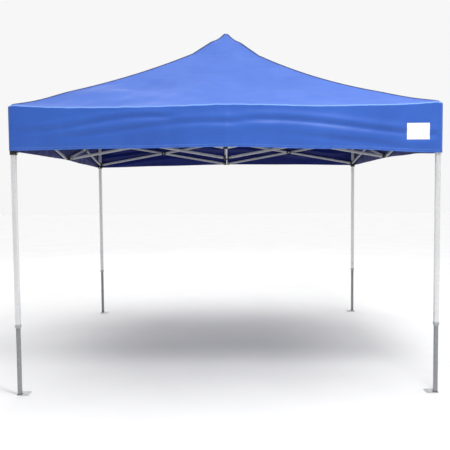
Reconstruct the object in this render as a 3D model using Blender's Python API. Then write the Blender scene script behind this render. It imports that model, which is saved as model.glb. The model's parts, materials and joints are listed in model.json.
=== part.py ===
"""Pop-up canopy, 3 m by 3 m: four telescoping legs, scissor trusses on each side and to the centre, and a cover.

Units are metres, +Z is up, and the origin is on the ground at the middle of the four legs.

Each side of the frame is drawn once, in its own axes: X runs along the side, Y points to the middle of the canopy
and Z is up. Turning those axes by quarter turns about the vertical gives the other sides. The same holds for the
corners. Every moving piece hangs on an empty that stands on its joint's axis, and the empties follow each other
in the order in which the frame unfolds, starting at the front left leg.
"""

import math

import bmesh
import bpy
from mathutils import Matrix, Vector

# Driving dimensions ----------------------------------------------------------------------------------------------

LEG_SPACING = 2.920  # between leg axes along each side
OPEN_ANGLE = math.radians(10.0)  # slope of every truss bar with the frame open
TOP_PIVOT_Z = 1.970  # upper row of truss pivots
PIVOT_GAP = 0.0003  # clearance between touching pieces

UPPER_LEG_WIDTH = 0.032
LOWER_LEG_WIDTH = 0.026
TUBE_WALL = 0.0008
UPPER_LEG_BOTTOM = 0.480
UPPER_LEG_TOP = 2.000
LOWER_LEG_TOP = 0.880

FOOT_PLATE_THICKNESS = 0.004
FOOT_PLATE_OUTER_REACH = 0.020  # from the leg axis to the plate's outer edges
FOOT_PLATE_INNER_REACH = 0.065  # from the leg axis to the plate's inner edges
FOOT_PLATE_CORNER = 0.008
STAKE_HOLE_RADIUS = 0.0065
STAKE_HOLE_REACH = 0.046
SCREW_HOLE_RADIUS = 0.004
SCREW_HOLE_REACH = 0.050

BAR_DEPTH = 0.024  # in the plane of the truss
BAR_THICKNESS = 0.012  # across the plane of the truss
BAR_END = 0.012  # tube beyond an end pivot
BAR_PLANE = 0.00665  # from the middle plane of a truss to each of its two planes of bars

LEG_TO_PIVOT = 0.044  # leg axis to the pivots of its brackets
CONNECTOR_TO_PIVOT = 0.026  # middle of a side to the pivots along that side
CONNECTOR_TO_INNER_PIVOT = 0.034  # side plane to the pivot of the inner truss
HUB_TO_PIVOT = 0.036  # canopy axis to the pivots of a centre hub

PIN_RADIUS = 0.0037
PIN_HOLE_RADIUS = 0.00435
PIN_REACH = 0.0134  # from the middle plane of a truss
PIN_HEAD_RADIUS = 0.0065
PIN_HEAD_REACH = 0.01525
TONGUE_THICKNESS = 0.005
TONGUE_HALF_HEIGHT = 0.012
TONGUE_END = 0.011  # tongue beyond its pivot
PLATE_HALF_HEIGHT = 0.015

SLEEVE_HALF_WIDTH = 0.0205
SLEEVE_CLEARANCE = 0.0005
BRACKET_BOTTOM = 1.935
BRACKET_TOP = 2.008
SLIDER_BELOW_PIVOT = 0.045
SLIDER_ABOVE_PIVOT = 0.020

PULL_PIN_DROP = 0.032  # pull pin below the slider's pivots
PULL_PIN_RADIUS = 0.003
PULL_KNOB_RADIUS = 0.008
PULL_KNOB_LENGTH = 0.013

SNAP_BUTTON_Z = 0.560
SNAP_BUTTON_RADIUS = 0.004
SNAP_FLANGE_RADIUS = 0.006
SNAP_BUTTON_TIP = 0.0149  # from the leg axis
SNAP_BUTTON_BACK = 0.009
SNAP_HOLE_RADIUS = 0.00435
SNAP_WINDOW_RADIUS = 0.005
HEIGHT_HOLES_Z = (0.410, 0.260)

HUB_HALF_WIDTH = 0.018
HUB_HALF_HEIGHT = 0.020
POLE_RADIUS = 0.0125
POLE_BORE_RADIUS = 0.0131
POLE_TOP = 2.828
POLE_PLUG_DEPTH = 0.012
POLE_FOOT_DROP = 0.015  # pole's foot below the lower row of pivots
ROUND_SIDES = 8
POLE_SIDES = 16

COVER_HALF_WIDTH = 1.486
COVER_THICKNESS = 0.0012
EAVE_Z = 2.017
VALANCE_BOTTOM = 1.690
ROOF_RISE = 0.690  # of a straight hip, without the tip
HIP_SAG = 0.035
PANEL_SAG = 0.025  # extra dip halfway between two hips
TIP_RISE = 0.138  # extra rise where the pole lifts the cover
TIP_REACH = 0.360
TIP_POWER = 1.5
COVER_CAP = 0.030  # half-width of the flat spot over the pole
ROOF_RINGS = (1.486, 1.20, 0.90, 0.62, 0.36, 0.20, 0.09, COVER_CAP)
SIDE_STEPS = 4

# Sizes that follow ------------------------------------------------------------------------------------------------

HALF = LEG_SPACING / 2
SPAN = HALF - LEG_TO_PIVOT - CONNECTOR_TO_PIVOT
BAR_LENGTH = SPAN / math.cos(OPEN_ANGLE)
LOW_PIVOT_Z = TOP_PIVOT_Z - BAR_LENGTH * math.sin(OPEN_ANGLE)
MID_PIVOT_Z = (TOP_PIVOT_Z + LOW_PIVOT_Z) / 2
CELL_MIDDLE = (HALF - LEG_TO_PIVOT + CONNECTOR_TO_PIVOT) / 2
INNER_MIDDLE = (CONNECTOR_TO_INNER_PIVOT + HALF - HUB_TO_PIVOT) / 2

SIDES = ("front", "right", "rear", "left")
CORNERS = ("front_left", "front_right", "rear_right", "rear_left")

MATERIALS = {
    "leg_paint": ((0.60, 0.61, 0.62, 1.0), 0.38, 0.75),
    "lower_leg_paint": ((0.46, 0.47, 0.48, 1.0), 0.40, 0.75),
    "bar_paint": ((0.50, 0.51, 0.53, 1.0), 0.42, 0.70),
    "black_nylon": ((0.02, 0.02, 0.022, 1.0), 0.55, 0.0),
    "zinc_pin": ((0.62, 0.62, 0.60, 1.0), 0.32, 0.9),
    "blue_polyester": ((0.035, 0.12, 0.55, 1.0), 0.70, 0.0),
}


# Meshes -----------------------------------------------------------------------------------------------------------


def mesh_from(bm, name):
    bmesh.ops.recalc_face_normals(bm, faces=bm.faces)
    mesh = bpy.data.meshes.new(name)
    bm.to_mesh(mesh)
    bm.free()
    return mesh


def block(low, high):
    """A box between two opposite corners."""
    bm = bmesh.new()
    low, high = Vector(low), Vector(high)
    size = high - low
    place = Matrix.Translation((low + high) / 2) @ Matrix.Diagonal((*size, 1.0))
    bmesh.ops.create_cube(bm, size=1.0, matrix=place)
    return mesh_from(bm, "block")


def rod(axis, centre, start, end, radius, sides=ROUND_SIDES):
    """A round bar along X, Y or Z. centre holds its place on the other two axes, in their order."""
    turn = {
        "X": Matrix.Rotation(math.pi / 2, 4, "Y"),
        "Y": Matrix.Rotation(-math.pi / 2, 4, "X"),
        "Z": Matrix.Identity(4),
    }[axis]
    middle = (start + end) / 2
    place = {
        "X": (middle, centre[0], centre[1]),
        "Y": (centre[0], middle, centre[1]),
        "Z": (centre[0], centre[1], middle),
    }[axis]
    bm = bmesh.new()
    bmesh.ops.create_cone(
        bm,
        cap_ends=True,
        segments=sides,
        radius1=radius,
        radius2=radius,
        depth=abs(end - start),
        matrix=Matrix.Translation(place) @ turn,
    )
    return mesh_from(bm, "rod")


def slab(outline, bottom, top):
    """An upright prism over a flat outline of (x, y) points."""
    bm = bmesh.new()
    base = bm.faces.new([bm.verts.new((x, y, bottom)) for x, y in outline])
    rise = bmesh.ops.extrude_face_region(bm, geom=[base])
    lifted = [item for item in rise["geom"] if isinstance(item, bmesh.types.BMVert)]
    bmesh.ops.translate(bm, vec=(0.0, 0.0, top - bottom), verts=lifted)
    return mesh_from(bm, "slab")


def carve(name, solids, cuts=()):
    """Joins the solids into one body and takes the cuts away from it."""
    helpers = [bpy.data.objects.new("helper", mesh) for mesh in (*solids, *cuts)]
    for helper in helpers:
        bpy.context.scene.collection.objects.link(helper)
    base = helpers[0]
    for index, helper in enumerate(helpers[1:], start=1):
        step = base.modifiers.new("step", "BOOLEAN")
        step.operation = "UNION" if index < len(solids) else "DIFFERENCE"
        step.solver = "EXACT"
        step.object = helper
    depsgraph = bpy.context.evaluated_depsgraph_get()
    mesh = bpy.data.meshes.new_from_object(base.evaluated_get(depsgraph))
    mesh.name = name
    for helper in helpers:
        used = helper.data
        bpy.data.objects.remove(helper)
        bpy.data.meshes.remove(used)
    return mesh


def pivot_pin(axis, centre, side):
    """A pin with its head, from a tongue at the middle plane through one bar. side is the sign of its direction."""
    inside = -side * TONGUE_THICKNESS / 2
    return [
        rod(axis, centre, inside, side * (PIN_REACH + PIVOT_GAP), PIN_RADIUS),
        rod(axis, centre, side * PIN_REACH, side * PIN_HEAD_REACH, PIN_HEAD_RADIUS),
    ]


def tongue(along, start, end, side):
    """An upright plate that reaches along X or Y from start to end, on the far side of the middle plane."""
    low, high = sorted((0.0, -side * TONGUE_THICKNESS))
    if along == "X":
        return block((start, low, -TONGUE_HALF_HEIGHT), (end, high, TONGUE_HALF_HEIGHT))
    return block((low, start, -TONGUE_HALF_HEIGHT), (high, end, TONGUE_HALF_HEIGHT))


def square_sleeve_ears(side):
    """Two tongues with pins for the two trusses that meet at a leg, along +X and +Y."""
    start = SLEEVE_HALF_WIDTH - TONGUE_THICKNESS / 2
    end = LEG_TO_PIVOT + TONGUE_END
    return [
        tongue("X", start, end, side),
        tongue("Y", start, end, side),
        *pivot_pin("Y", (LEG_TO_PIVOT, 0.0), side),
        *pivot_pin("X", (LEG_TO_PIVOT, 0.0), side),
    ]


def square_block(half_width, bottom, top):
    return block((-half_width, -half_width, bottom), (half_width, half_width, top))


def upper_leg_mesh():
    """Square tube about the leg axis, with the slider's lock hole (+X) and the snap button's window (+Y)."""
    half = UPPER_LEG_WIDTH / 2
    lock_z = LOW_PIVOT_Z - PULL_PIN_DROP
    return carve(
        "upper_leg",
        [square_block(half, UPPER_LEG_BOTTOM, UPPER_LEG_TOP)],
        [
            square_block(half - TUBE_WALL, UPPER_LEG_BOTTOM - TUBE_WALL, UPPER_LEG_TOP + TUBE_WALL),
            rod("X", (0.0, lock_z), 0.0, UPPER_LEG_WIDTH, PULL_PIN_RADIUS + SLEEVE_CLEARANCE),
            rod("Y", (0.0, SNAP_BUTTON_Z), 0.0, UPPER_LEG_WIDTH, SNAP_WINDOW_RADIUS),
        ],
    )


def foot_plate_outline():
    """A square with cut corners, further in than out."""
    low, high, cut = -FOOT_PLATE_OUTER_REACH, FOOT_PLATE_INNER_REACH, FOOT_PLATE_CORNER
    return [
        (low + cut, low),
        (high - cut, low),
        (high, low + cut),
        (high, high - cut),
        (high - cut, high),
        (low + cut, high),
        (low, high - cut),
        (low, low + cut),
    ]


def lower_leg_mesh():
    """Square tube welded on its foot plate, with the snap button's hole, two more height holes and the stake holes."""
    half = LOWER_LEG_WIDTH / 2
    plate_top = FOOT_PLATE_THICKNESS
    holes = [
        rod("Z", (STAKE_HOLE_REACH, STAKE_HOLE_REACH), -plate_top, 2 * plate_top, STAKE_HOLE_RADIUS),
        rod("Z", (SCREW_HOLE_REACH, 0.0), -plate_top, 2 * plate_top, SCREW_HOLE_RADIUS),
        rod("Z", (0.0, SCREW_HOLE_REACH), -plate_top, 2 * plate_top, SCREW_HOLE_RADIUS),
    ]
    for height in (SNAP_BUTTON_Z, *HEIGHT_HOLES_Z):
        holes.append(rod("Y", (0.0, height), 0.0, LOWER_LEG_WIDTH, SNAP_HOLE_RADIUS))
    return carve(
        "lower_leg",
        [
            slab(foot_plate_outline(), 0.0, plate_top),
            square_block(half, plate_top / 2, LOWER_LEG_TOP),
        ],
        [square_block(half - TUBE_WALL, plate_top, LOWER_LEG_TOP + TUBE_WALL), *holes],
    )


def corner_bracket_mesh():
    """Closed socket over the leg's top with two tongues, drawn with its pivots at Z = 0."""
    bottom = BRACKET_BOTTOM - TOP_PIVOT_Z
    top = BRACKET_TOP - TOP_PIVOT_Z
    leg_top = UPPER_LEG_TOP - TOP_PIVOT_Z
    bore = UPPER_LEG_WIDTH / 2 + PIVOT_GAP
    return carve(
        "corner_bracket",
        [square_block(SLEEVE_HALF_WIDTH, bottom, top), *square_sleeve_ears(-1)],
        [square_block(bore, bottom - PIVOT_GAP, leg_top + PIVOT_GAP)],
    )


def slider_mesh():
    """Sleeve that runs on the upper leg with two tongues and the pull pin's hole, drawn with its pivots at Z = 0."""
    bore = UPPER_LEG_WIDTH / 2 + SLEEVE_CLEARANCE
    bottom, top = -SLIDER_BELOW_PIVOT, SLIDER_ABOVE_PIVOT
    return carve(
        "slider",
        [square_block(SLEEVE_HALF_WIDTH, bottom, top), *square_sleeve_ears(1)],
        [
            square_block(bore, bottom - PIVOT_GAP, top + PIVOT_GAP),
            rod("X", (0.0, -PULL_PIN_DROP), 0.0, 2 * SLEEVE_HALF_WIDTH, PULL_PIN_RADIUS + SLEEVE_CLEARANCE),
        ],
    )


def pull_pin_mesh():
    """Lock pin with a knob, along +X from the leg's face."""
    tip = UPPER_LEG_WIDTH / 2 + PIVOT_GAP
    knob = SLEEVE_HALF_WIDTH + PIVOT_GAP
    return carve(
        "slider_pull_pin",
        [
            rod("X", (0.0, 0.0), tip, knob + PULL_KNOB_LENGTH / 2, PULL_PIN_RADIUS),
            rod("X", (0.0, 0.0), knob, knob + PULL_KNOB_LENGTH, PULL_KNOB_RADIUS, 12),
        ],
    )


def snap_button_mesh():
    """Spring button along +Y, whose flange stays inside the lower leg."""
    flange_face = LOWER_LEG_WIDTH / 2 - TUBE_WALL - PIVOT_GAP
    return carve(
        "leg_snap_button",
        [
            rod("Y", (0.0, 0.0), SNAP_BUTTON_BACK, flange_face, SNAP_FLANGE_RADIUS),
            rod("Y", (0.0, 0.0), SNAP_BUTTON_BACK, SNAP_BUTTON_TIP, SNAP_BUTTON_RADIUS),
        ],
    )


def bar_mesh(has_pin):
    """Flat-sided tube along +X from its first pivot, in its own plane Y = 0.

    One bar of each crossing pair carries the scissor pin, which reaches through the other bar's middle hole.
    """
    half_depth, half_thickness = BAR_DEPTH / 2, BAR_THICKNESS / 2
    inner_depth, inner_thickness = half_depth - TUBE_WALL, half_thickness - TUBE_WALL
    start, end = -BAR_END, BAR_LENGTH + BAR_END
    middle = BAR_LENGTH / 2
    solids = [block((start, -half_thickness, -half_depth), (end, half_thickness, half_depth))]
    cuts = [
        block(
            (start - TUBE_WALL, -inner_thickness, -inner_depth),
            (end + TUBE_WALL, inner_thickness, inner_depth),
        )
    ]
    holes = [0.0, BAR_LENGTH] if has_pin else [0.0, middle, BAR_LENGTH]
    for place in holes:
        cuts.append(rod("Y", (place, 0.0), -BAR_THICKNESS, BAR_THICKNESS, PIN_HOLE_RADIUS))
    bar = carve("truss_bar", solids, cuts)
    if not has_pin:
        return bar
    reach = PIN_REACH + BAR_PLANE
    return carve(
        "truss_bar_with_pin",
        [
            bar,
            rod("Y", (middle, 0.0), half_thickness - TUBE_WALL / 2, reach + PIVOT_GAP, PIN_RADIUS),
            rod("Y", (middle, 0.0), reach, PIN_HEAD_REACH + BAR_PLANE, PIN_HEAD_RADIUS),
        ],
    )


def connector_mesh(side):
    """Plate along a side with two pins, and a tongue with a pin for the inner truss. Pivots at Z = 0."""
    reach = CONNECTOR_TO_PIVOT + BAR_END
    low, high = sorted((0.0, -side * TONGUE_THICKNESS))
    plate = block((-reach, low, -PLATE_HALF_HEIGHT), (reach, high, PLATE_HALF_HEIGHT))
    inner_start = low + TONGUE_THICKNESS / 2
    return carve(
        "connector",
        [
            plate,
            tongue("Y", inner_start, CONNECTOR_TO_INNER_PIVOT + TONGUE_END, side),
            *pivot_pin("Y", (-CONNECTOR_TO_PIVOT, 0.0), side),
            *pivot_pin("Y", (CONNECTOR_TO_PIVOT, 0.0), side),
            *pivot_pin("X", (CONNECTOR_TO_INNER_PIVOT, 0.0), side),
        ],
    )


def hub_mesh(name, side, cuts):
    """Square block with four tongues and pins, one for each inner truss. Pivots at Z = 0."""
    start, end = -HUB_HALF_WIDTH + TONGUE_THICKNESS / 2, -HUB_TO_PIVOT - TONGUE_END
    solids = [square_block(HUB_HALF_WIDTH, -HUB_HALF_HEIGHT, HUB_HALF_HEIGHT)]
    for quarter in range(4):
        turn = Matrix.Rotation(quarter * math.pi / 2, 4, "Z")
        arm = [tongue("Y", end, start, side), *pivot_pin("X", (-HUB_TO_PIVOT, 0.0), side)]
        for piece in arm:
            piece.transform(turn)
        solids.extend(arm)
    return carve(name, solids, cuts)


def upper_hub_mesh():
    reach = 2 * HUB_HALF_HEIGHT
    return hub_mesh(
        "upper_centre_hub",
        -1,
        [rod("Z", (0.0, 0.0), -reach, reach, POLE_BORE_RADIUS, POLE_SIDES)],
    )


def lower_hub_mesh():
    """The socket for the pole's foot is closed below."""
    floor = -POLE_FOOT_DROP - PIVOT_GAP
    return hub_mesh(
        "lower_centre_hub",
        1,
        [rod("Z", (0.0, 0.0), floor, 2 * HUB_HALF_HEIGHT, POLE_BORE_RADIUS, POLE_SIDES)],
    )


def pole_mesh():
    """Round tube, open below and plugged at the top."""
    foot = LOW_PIVOT_Z - POLE_FOOT_DROP
    return carve(
        "peak_pole",
        [rod("Z", (0.0, 0.0), foot, POLE_TOP, POLE_RADIUS, POLE_SIDES)],
        [
            rod(
                "Z",
                (0.0, 0.0),
                foot - TUBE_WALL,
                POLE_TOP - POLE_PLUG_DEPTH,
                POLE_RADIUS - TUBE_WALL,
                POLE_SIDES,
            )
        ],
    )


def roof_height(reach, across):
    """Height of the roof. reach is the distance from the centre towards an eave, across runs from -1 to 1."""
    share = reach / COVER_HALF_WIDTH
    hip = EAVE_Z + ROOF_RISE * (1 - share) - 4 * HIP_SAG * share * (1 - share)
    tip = TIP_RISE * max(0.0, 1 - reach / TIP_REACH) ** TIP_POWER
    dip = PANEL_SAG * (1 - across**2) * 4 * share * (1 - share)
    return hip + tip - dip


def ring_points(reach):
    """Points round a square of half-width reach, anticlockwise, as (x, y, across)."""
    points = []
    for quarter in range(4):
        turn = Matrix.Rotation(quarter * math.pi / 2, 4, "Z")
        for step in range(SIDE_STEPS):
            across = -1 + 2 * step / SIDE_STEPS
            place = turn @ Vector((across * reach, -reach, 0.0))
            points.append((place.x, place.y, across))
    return points


def cover_mesh():
    """Roof and valance as one sheet, open below. The Solidify modifier gives it its thickness, inwards."""
    bm = bmesh.new()
    rings = []
    hem = [bm.verts.new((x, y, VALANCE_BOTTOM)) for x, y, across in ring_points(COVER_HALF_WIDTH)]
    rings.append(hem)
    for reach in ROOF_RINGS:
        ring = [bm.verts.new((x, y, roof_height(reach, across))) for x, y, across in ring_points(reach)]
        rings.append(ring)
    for lower, upper in zip(rings, rings[1:]):
        for index in range(len(lower)):
            after = (index + 1) % len(lower)
            bm.faces.new((lower[index], lower[after], upper[after], upper[index]))
    peak = bm.verts.new((0.0, 0.0, roof_height(0.0, 0.0)))
    last = rings[-1]
    for index in range(len(last)):
        bm.faces.new((last[index], last[(index + 1) % len(last)], peak))
    return mesh_from(bm, "canopy_cover")


# Placing ----------------------------------------------------------------------------------------------------------


def make_material(name):
    colour, roughness, metallic = MATERIALS[name]
    material = bpy.data.materials.new(name)
    material.use_nodes = True
    shader = material.node_tree.nodes["Principled BSDF"]
    shader.inputs["Base Color"].default_value = colour
    shader.inputs["Roughness"].default_value = roughness
    shader.inputs["Metallic"].default_value = metallic
    material.diffuse_color = colour
    return material


def quarter_turn(count):
    return Matrix.Rotation(count * math.pi / 2, 4, "Z")


def corner_frame(index, z=0.0):
    """Axes at a leg: +X and +Y run along its two sides, towards the other legs."""
    return quarter_turn(index) @ Matrix.Translation((-HALF, -HALF, z))


def side_frame(index, z=0.0):
    """Axes at the middle of a side: +X along the side, +Y towards the canopy's middle."""
    return quarter_turn(index) @ Matrix.Translation((0.0, -HALF, z))


def bar_frame(index, start, end, along, plane):
    """Axes of a bar from start to end, both (distance, z), in the truss along X or Y of a side's axes.

    plane is the bar's place across the truss. The bars with the scissor pin lie in the plane before the middle
    one, and the bars that cross them lie in the plane behind it.
    """
    run, rise = end[0] - start[0], end[1] - start[1]
    if along == "X":
        place = Vector((start[0], plane, start[1]))
        direction = Vector((run, 0.0, rise)).normalized()
        normal = Vector((0.0, 1.0, 0.0))
    else:
        place = Vector((plane, start[0], start[1]))
        direction = Vector((0.0, run, rise)).normalized()
        normal = Vector((1.0, 0.0, 0.0))
    upright = direction.cross(normal)
    axes = Matrix((direction, normal, upright)).transposed().to_4x4()
    return side_frame(index) @ Matrix.Translation(place) @ axes


class Assembly:
    """Keeps the joints' empties, and places pieces on them."""

    def __init__(self):
        self.empties = {None: None}
        self.places = {None: Vector()}
        self.materials = {name: make_material(name) for name in MATERIALS}

    def joint(self, name, parent, point):
        """An empty on a joint's axis, carried by the parent joint's empty."""
        empty = bpy.data.objects.new(name + "_joint", None)
        empty.empty_display_size = 0.03
        bpy.context.scene.collection.objects.link(empty)
        empty.parent = self.empties[parent]
        empty.location = Vector(point) - self.places[parent]
        self.empties[name] = empty
        self.places[name] = Vector(point)

    def piece(self, name, mesh, frame, material, joint=None):
        """One sub-part, in its place, carried by a joint's empty."""
        item = bpy.data.objects.new(name, mesh)
        if not mesh.materials:
            mesh.materials.append(self.materials[material])
        bpy.context.scene.collection.objects.link(item)
        item.parent = self.empties[joint]
        item.matrix_local = Matrix.Translation(-self.places[joint]) @ frame
        return item


def side_point(index, x, y, z):
    return side_frame(index) @ Vector((x, y, z))


def build_legs(assembly):
    """Each leg stands on one joint empty. The lower leg, slider and buttons hang on empties of their own."""
    upper, lower = upper_leg_mesh(), lower_leg_mesh()
    bracket, slider = corner_bracket_mesh(), slider_mesh()
    pull_pin, snap_button = pull_pin_mesh(), snap_button_mesh()
    for index, corner in enumerate(CORNERS):
        leg = "leg_" + corner if corner != "front_left" else None
        frame = corner_frame(index)
        assembly.piece("upper_leg_" + corner, upper, frame, "leg_paint", leg)
        top = corner_frame(index, TOP_PIVOT_Z)
        assembly.piece("corner_bracket_" + corner, bracket, top, "black_nylon", leg)

        telescope = "telescope_" + corner
        assembly.joint(telescope, leg, frame @ Vector())
        assembly.piece("lower_leg_" + corner, lower, frame, "lower_leg_paint", telescope)

        button = "snap_" + corner
        button_frame = corner_frame(index, SNAP_BUTTON_Z)
        assembly.joint(button, telescope, button_frame @ Vector((0.0, SNAP_BUTTON_TIP, 0.0)))
        assembly.piece("leg_snap_button_" + corner, snap_button, button_frame, "zinc_pin", button)

        slide = "slider_" + corner
        assembly.piece(slide, slider, corner_frame(index, LOW_PIVOT_Z), "black_nylon", slide)
        pull = "pull_" + corner
        pull_frame = corner_frame(index, LOW_PIVOT_Z - PULL_PIN_DROP)
        assembly.joint(pull, slide, pull_frame @ Vector((SLEEVE_HALF_WIDTH, 0.0, 0.0)))
        assembly.piece("slider_pull_pin_" + corner, pull_pin, pull_frame, "zinc_pin", pull)


def truss_points(hand):
    """Pivots of one cell as (x, z) in a side's axes. hand is -1 for its first leg and 1 for its second."""
    return {
        "bracket": (hand * (HALF - LEG_TO_PIVOT), TOP_PIVOT_Z),
        "slider": (hand * (HALF - LEG_TO_PIVOT), LOW_PIVOT_Z),
        "upper": (hand * CONNECTOR_TO_PIVOT, TOP_PIVOT_Z),
        "lower": (hand * CONNECTOR_TO_PIVOT, LOW_PIVOT_Z),
        "scissor": (hand * CELL_MIDDLE, MID_PIVOT_Z),
    }


# The order in which the frame hangs together: side, its cell, and whether the chain comes from the leg or from
# the side's middle. The front left leg is the fixed one.
CELL_ORDER = (
    ("front", -1, "from_leg"),
    ("front", 1, "from_middle"),
    ("right", -1, "from_leg"),
    ("right", 1, "from_middle"),
    ("left", 1, "from_leg"),
    ("left", -1, "from_middle"),
    ("rear", -1, "from_leg"),
    ("rear", 1, "from_leg_free"),
)


def joint_cell(assembly, side, hand, origin):
    """Joints of one cell: its two bars, and what they carry on to."""
    index = SIDES.index(side)
    corner = CORNERS[(index + (hand + 1) // 2) % 4]
    pivots = truss_points(hand)
    place = {key: side_point(index, x, 0.0, z) for key, (x, z) in pivots.items()}
    low_bar = f"{side}_bar_{corner}_bracket"
    high_bar = f"{side}_bar_{corner}_slider"
    leg = "leg_" + corner if corner != "front_left" else None
    if origin == "from_middle":
        assembly.joint(low_bar, "lower_connector_" + side, place["lower"])
        assembly.joint(leg, low_bar, place["bracket"])
    else:
        assembly.joint(low_bar, leg, place["bracket"])
        if origin == "from_leg":
            assembly.joint("lower_connector_" + side, low_bar, place["lower"])
    assembly.joint(high_bar, low_bar, place["scissor"])
    if origin == "from_leg":
        assembly.joint("upper_connector_" + side, high_bar, place["upper"])
    if "slider_" + corner not in assembly.empties:
        assembly.joint("slider_" + corner, high_bar, place["slider"])


def joint_trusses(assembly):
    for side, hand, origin in CELL_ORDER:
        joint_cell(assembly, side, hand, origin)
    for index, side in enumerate(SIDES):
        low = side_point(index, 0.0, CONNECTOR_TO_INNER_PIVOT, LOW_PIVOT_Z)
        middle = side_point(index, 0.0, INNER_MIDDLE, MID_PIVOT_Z)
        assembly.joint("inner_bar_" + side + "_lower", "lower_connector_" + side, low)
        assembly.joint("inner_bar_" + side + "_upper", "inner_bar_" + side + "_lower", middle)
    front = SIDES.index("front")
    upper_hub_pivot = side_point(front, 0.0, HALF - HUB_TO_PIVOT, TOP_PIVOT_Z)
    lower_hub_pivot = side_point(front, 0.0, HALF - HUB_TO_PIVOT, LOW_PIVOT_Z)
    assembly.joint("upper_centre_hub", "inner_bar_front_lower", upper_hub_pivot)
    assembly.joint("lower_centre_hub", "inner_bar_front_upper", lower_hub_pivot)


def build_side_trusses(assembly, pin_bar, plain_bar):
    upper_plate, lower_plate = connector_mesh(1), connector_mesh(-1)
    for index, side in enumerate(SIDES):
        for hand in (-1, 1):
            corner = CORNERS[(index + (hand + 1) // 2) % 4]
            pivots = truss_points(hand)
            name = f"{side}_bar_{corner}_bracket"
            frame = bar_frame(index, pivots["bracket"], pivots["lower"], "X", -BAR_PLANE)
            assembly.piece(name, pin_bar, frame, "bar_paint", name)
            name = f"{side}_bar_{corner}_slider"
            frame = bar_frame(index, pivots["slider"], pivots["upper"], "X", BAR_PLANE)
            assembly.piece(name, plain_bar, frame, "bar_paint", name)
        name = "upper_connector_" + side
        assembly.piece(name, upper_plate, side_frame(index, TOP_PIVOT_Z), "black_nylon", name)
        name = "lower_connector_" + side
        assembly.piece(name, lower_plate, side_frame(index, LOW_PIVOT_Z), "black_nylon", name)


def build_inner_trusses(assembly, pin_bar, plain_bar):
    near, far = CONNECTOR_TO_INNER_PIVOT, HALF - HUB_TO_PIVOT
    for index, side in enumerate(SIDES):
        name = f"inner_bar_{side}_lower"
        frame = bar_frame(index, (near, LOW_PIVOT_Z), (far, TOP_PIVOT_Z), "Y", -BAR_PLANE)
        assembly.piece(name, pin_bar, frame, "bar_paint", name)
        name = f"inner_bar_{side}_upper"
        frame = bar_frame(index, (near, TOP_PIVOT_Z), (far, LOW_PIVOT_Z), "Y", BAR_PLANE)
        assembly.piece(name, plain_bar, frame, "bar_paint", name)


def build_centre(assembly):
    high = Matrix.Translation((0.0, 0.0, TOP_PIVOT_Z))
    low = Matrix.Translation((0.0, 0.0, LOW_PIVOT_Z))
    assembly.piece("upper_centre_hub", upper_hub_mesh(), high, "black_nylon", "upper_centre_hub")
    assembly.piece("lower_centre_hub", lower_hub_mesh(), low, "black_nylon", "lower_centre_hub")
    ground = Matrix.Identity(4)
    assembly.piece("peak_pole", pole_mesh(), ground, "leg_paint", "lower_centre_hub")
    cover = assembly.piece("canopy_cover", cover_mesh(), ground, "blue_polyester", "upper_centre_hub")
    shell = cover.modifiers.new("Thickness", "SOLIDIFY")
    shell.thickness = COVER_THICKNESS
    shell.offset = -1.0
    shell.use_even_offset = True


def main():
    for old in list(bpy.data.objects):
        bpy.data.objects.remove(old)
    assembly = Assembly()
    joint_trusses(assembly)
    pin_bar, plain_bar = bar_mesh(True), bar_mesh(False)
    build_legs(assembly)
    build_side_trusses(assembly, pin_bar, plain_bar)
    build_inner_trusses(assembly, pin_bar, plain_bar)
    build_centre(assembly)


main()
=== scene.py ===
"""Looks of a 3 m by 3 m pop-up canopy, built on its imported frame.

The cover is one draped surface. It is worked out as a whole and then cut into panels, because its parts
fold away with different bars and legs. The frame's tubes, castings, pivots and feet are finer pieces in
the CAD's places. Units are metres and +Z is up. The front faces -Y, and the other sides are quarter turns
of the front.
"""
import json
import math

import bmesh
import bpy
import numpy as np
from mathutils import Matrix, Vector


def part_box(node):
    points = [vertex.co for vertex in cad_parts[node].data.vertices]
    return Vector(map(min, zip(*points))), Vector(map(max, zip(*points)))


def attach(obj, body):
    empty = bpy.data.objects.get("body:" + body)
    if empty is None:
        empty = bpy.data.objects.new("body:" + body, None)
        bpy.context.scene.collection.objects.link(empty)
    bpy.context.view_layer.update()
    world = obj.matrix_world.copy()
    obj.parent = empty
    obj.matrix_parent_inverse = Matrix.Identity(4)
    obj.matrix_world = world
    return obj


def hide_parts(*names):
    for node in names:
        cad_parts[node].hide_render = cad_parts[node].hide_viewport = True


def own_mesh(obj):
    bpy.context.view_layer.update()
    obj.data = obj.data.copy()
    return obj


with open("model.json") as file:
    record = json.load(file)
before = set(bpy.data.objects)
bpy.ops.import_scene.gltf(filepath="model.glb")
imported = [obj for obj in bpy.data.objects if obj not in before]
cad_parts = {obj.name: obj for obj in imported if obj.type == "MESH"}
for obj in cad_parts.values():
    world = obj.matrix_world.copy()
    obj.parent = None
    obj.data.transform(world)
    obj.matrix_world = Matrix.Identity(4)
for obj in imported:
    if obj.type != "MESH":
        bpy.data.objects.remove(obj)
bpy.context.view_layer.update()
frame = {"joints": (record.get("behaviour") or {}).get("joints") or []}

# Places that come from the frame ---------------------------------------------------------

SIDES = ("front", "right", "rear", "left")
CORNERS = ("front_left", "front_right", "rear_right", "rear_left")


def joint_place(name):
    return next(Vector(joint["pos_m"]) for joint in frame["joints"] if joint["name"] == name)


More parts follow.
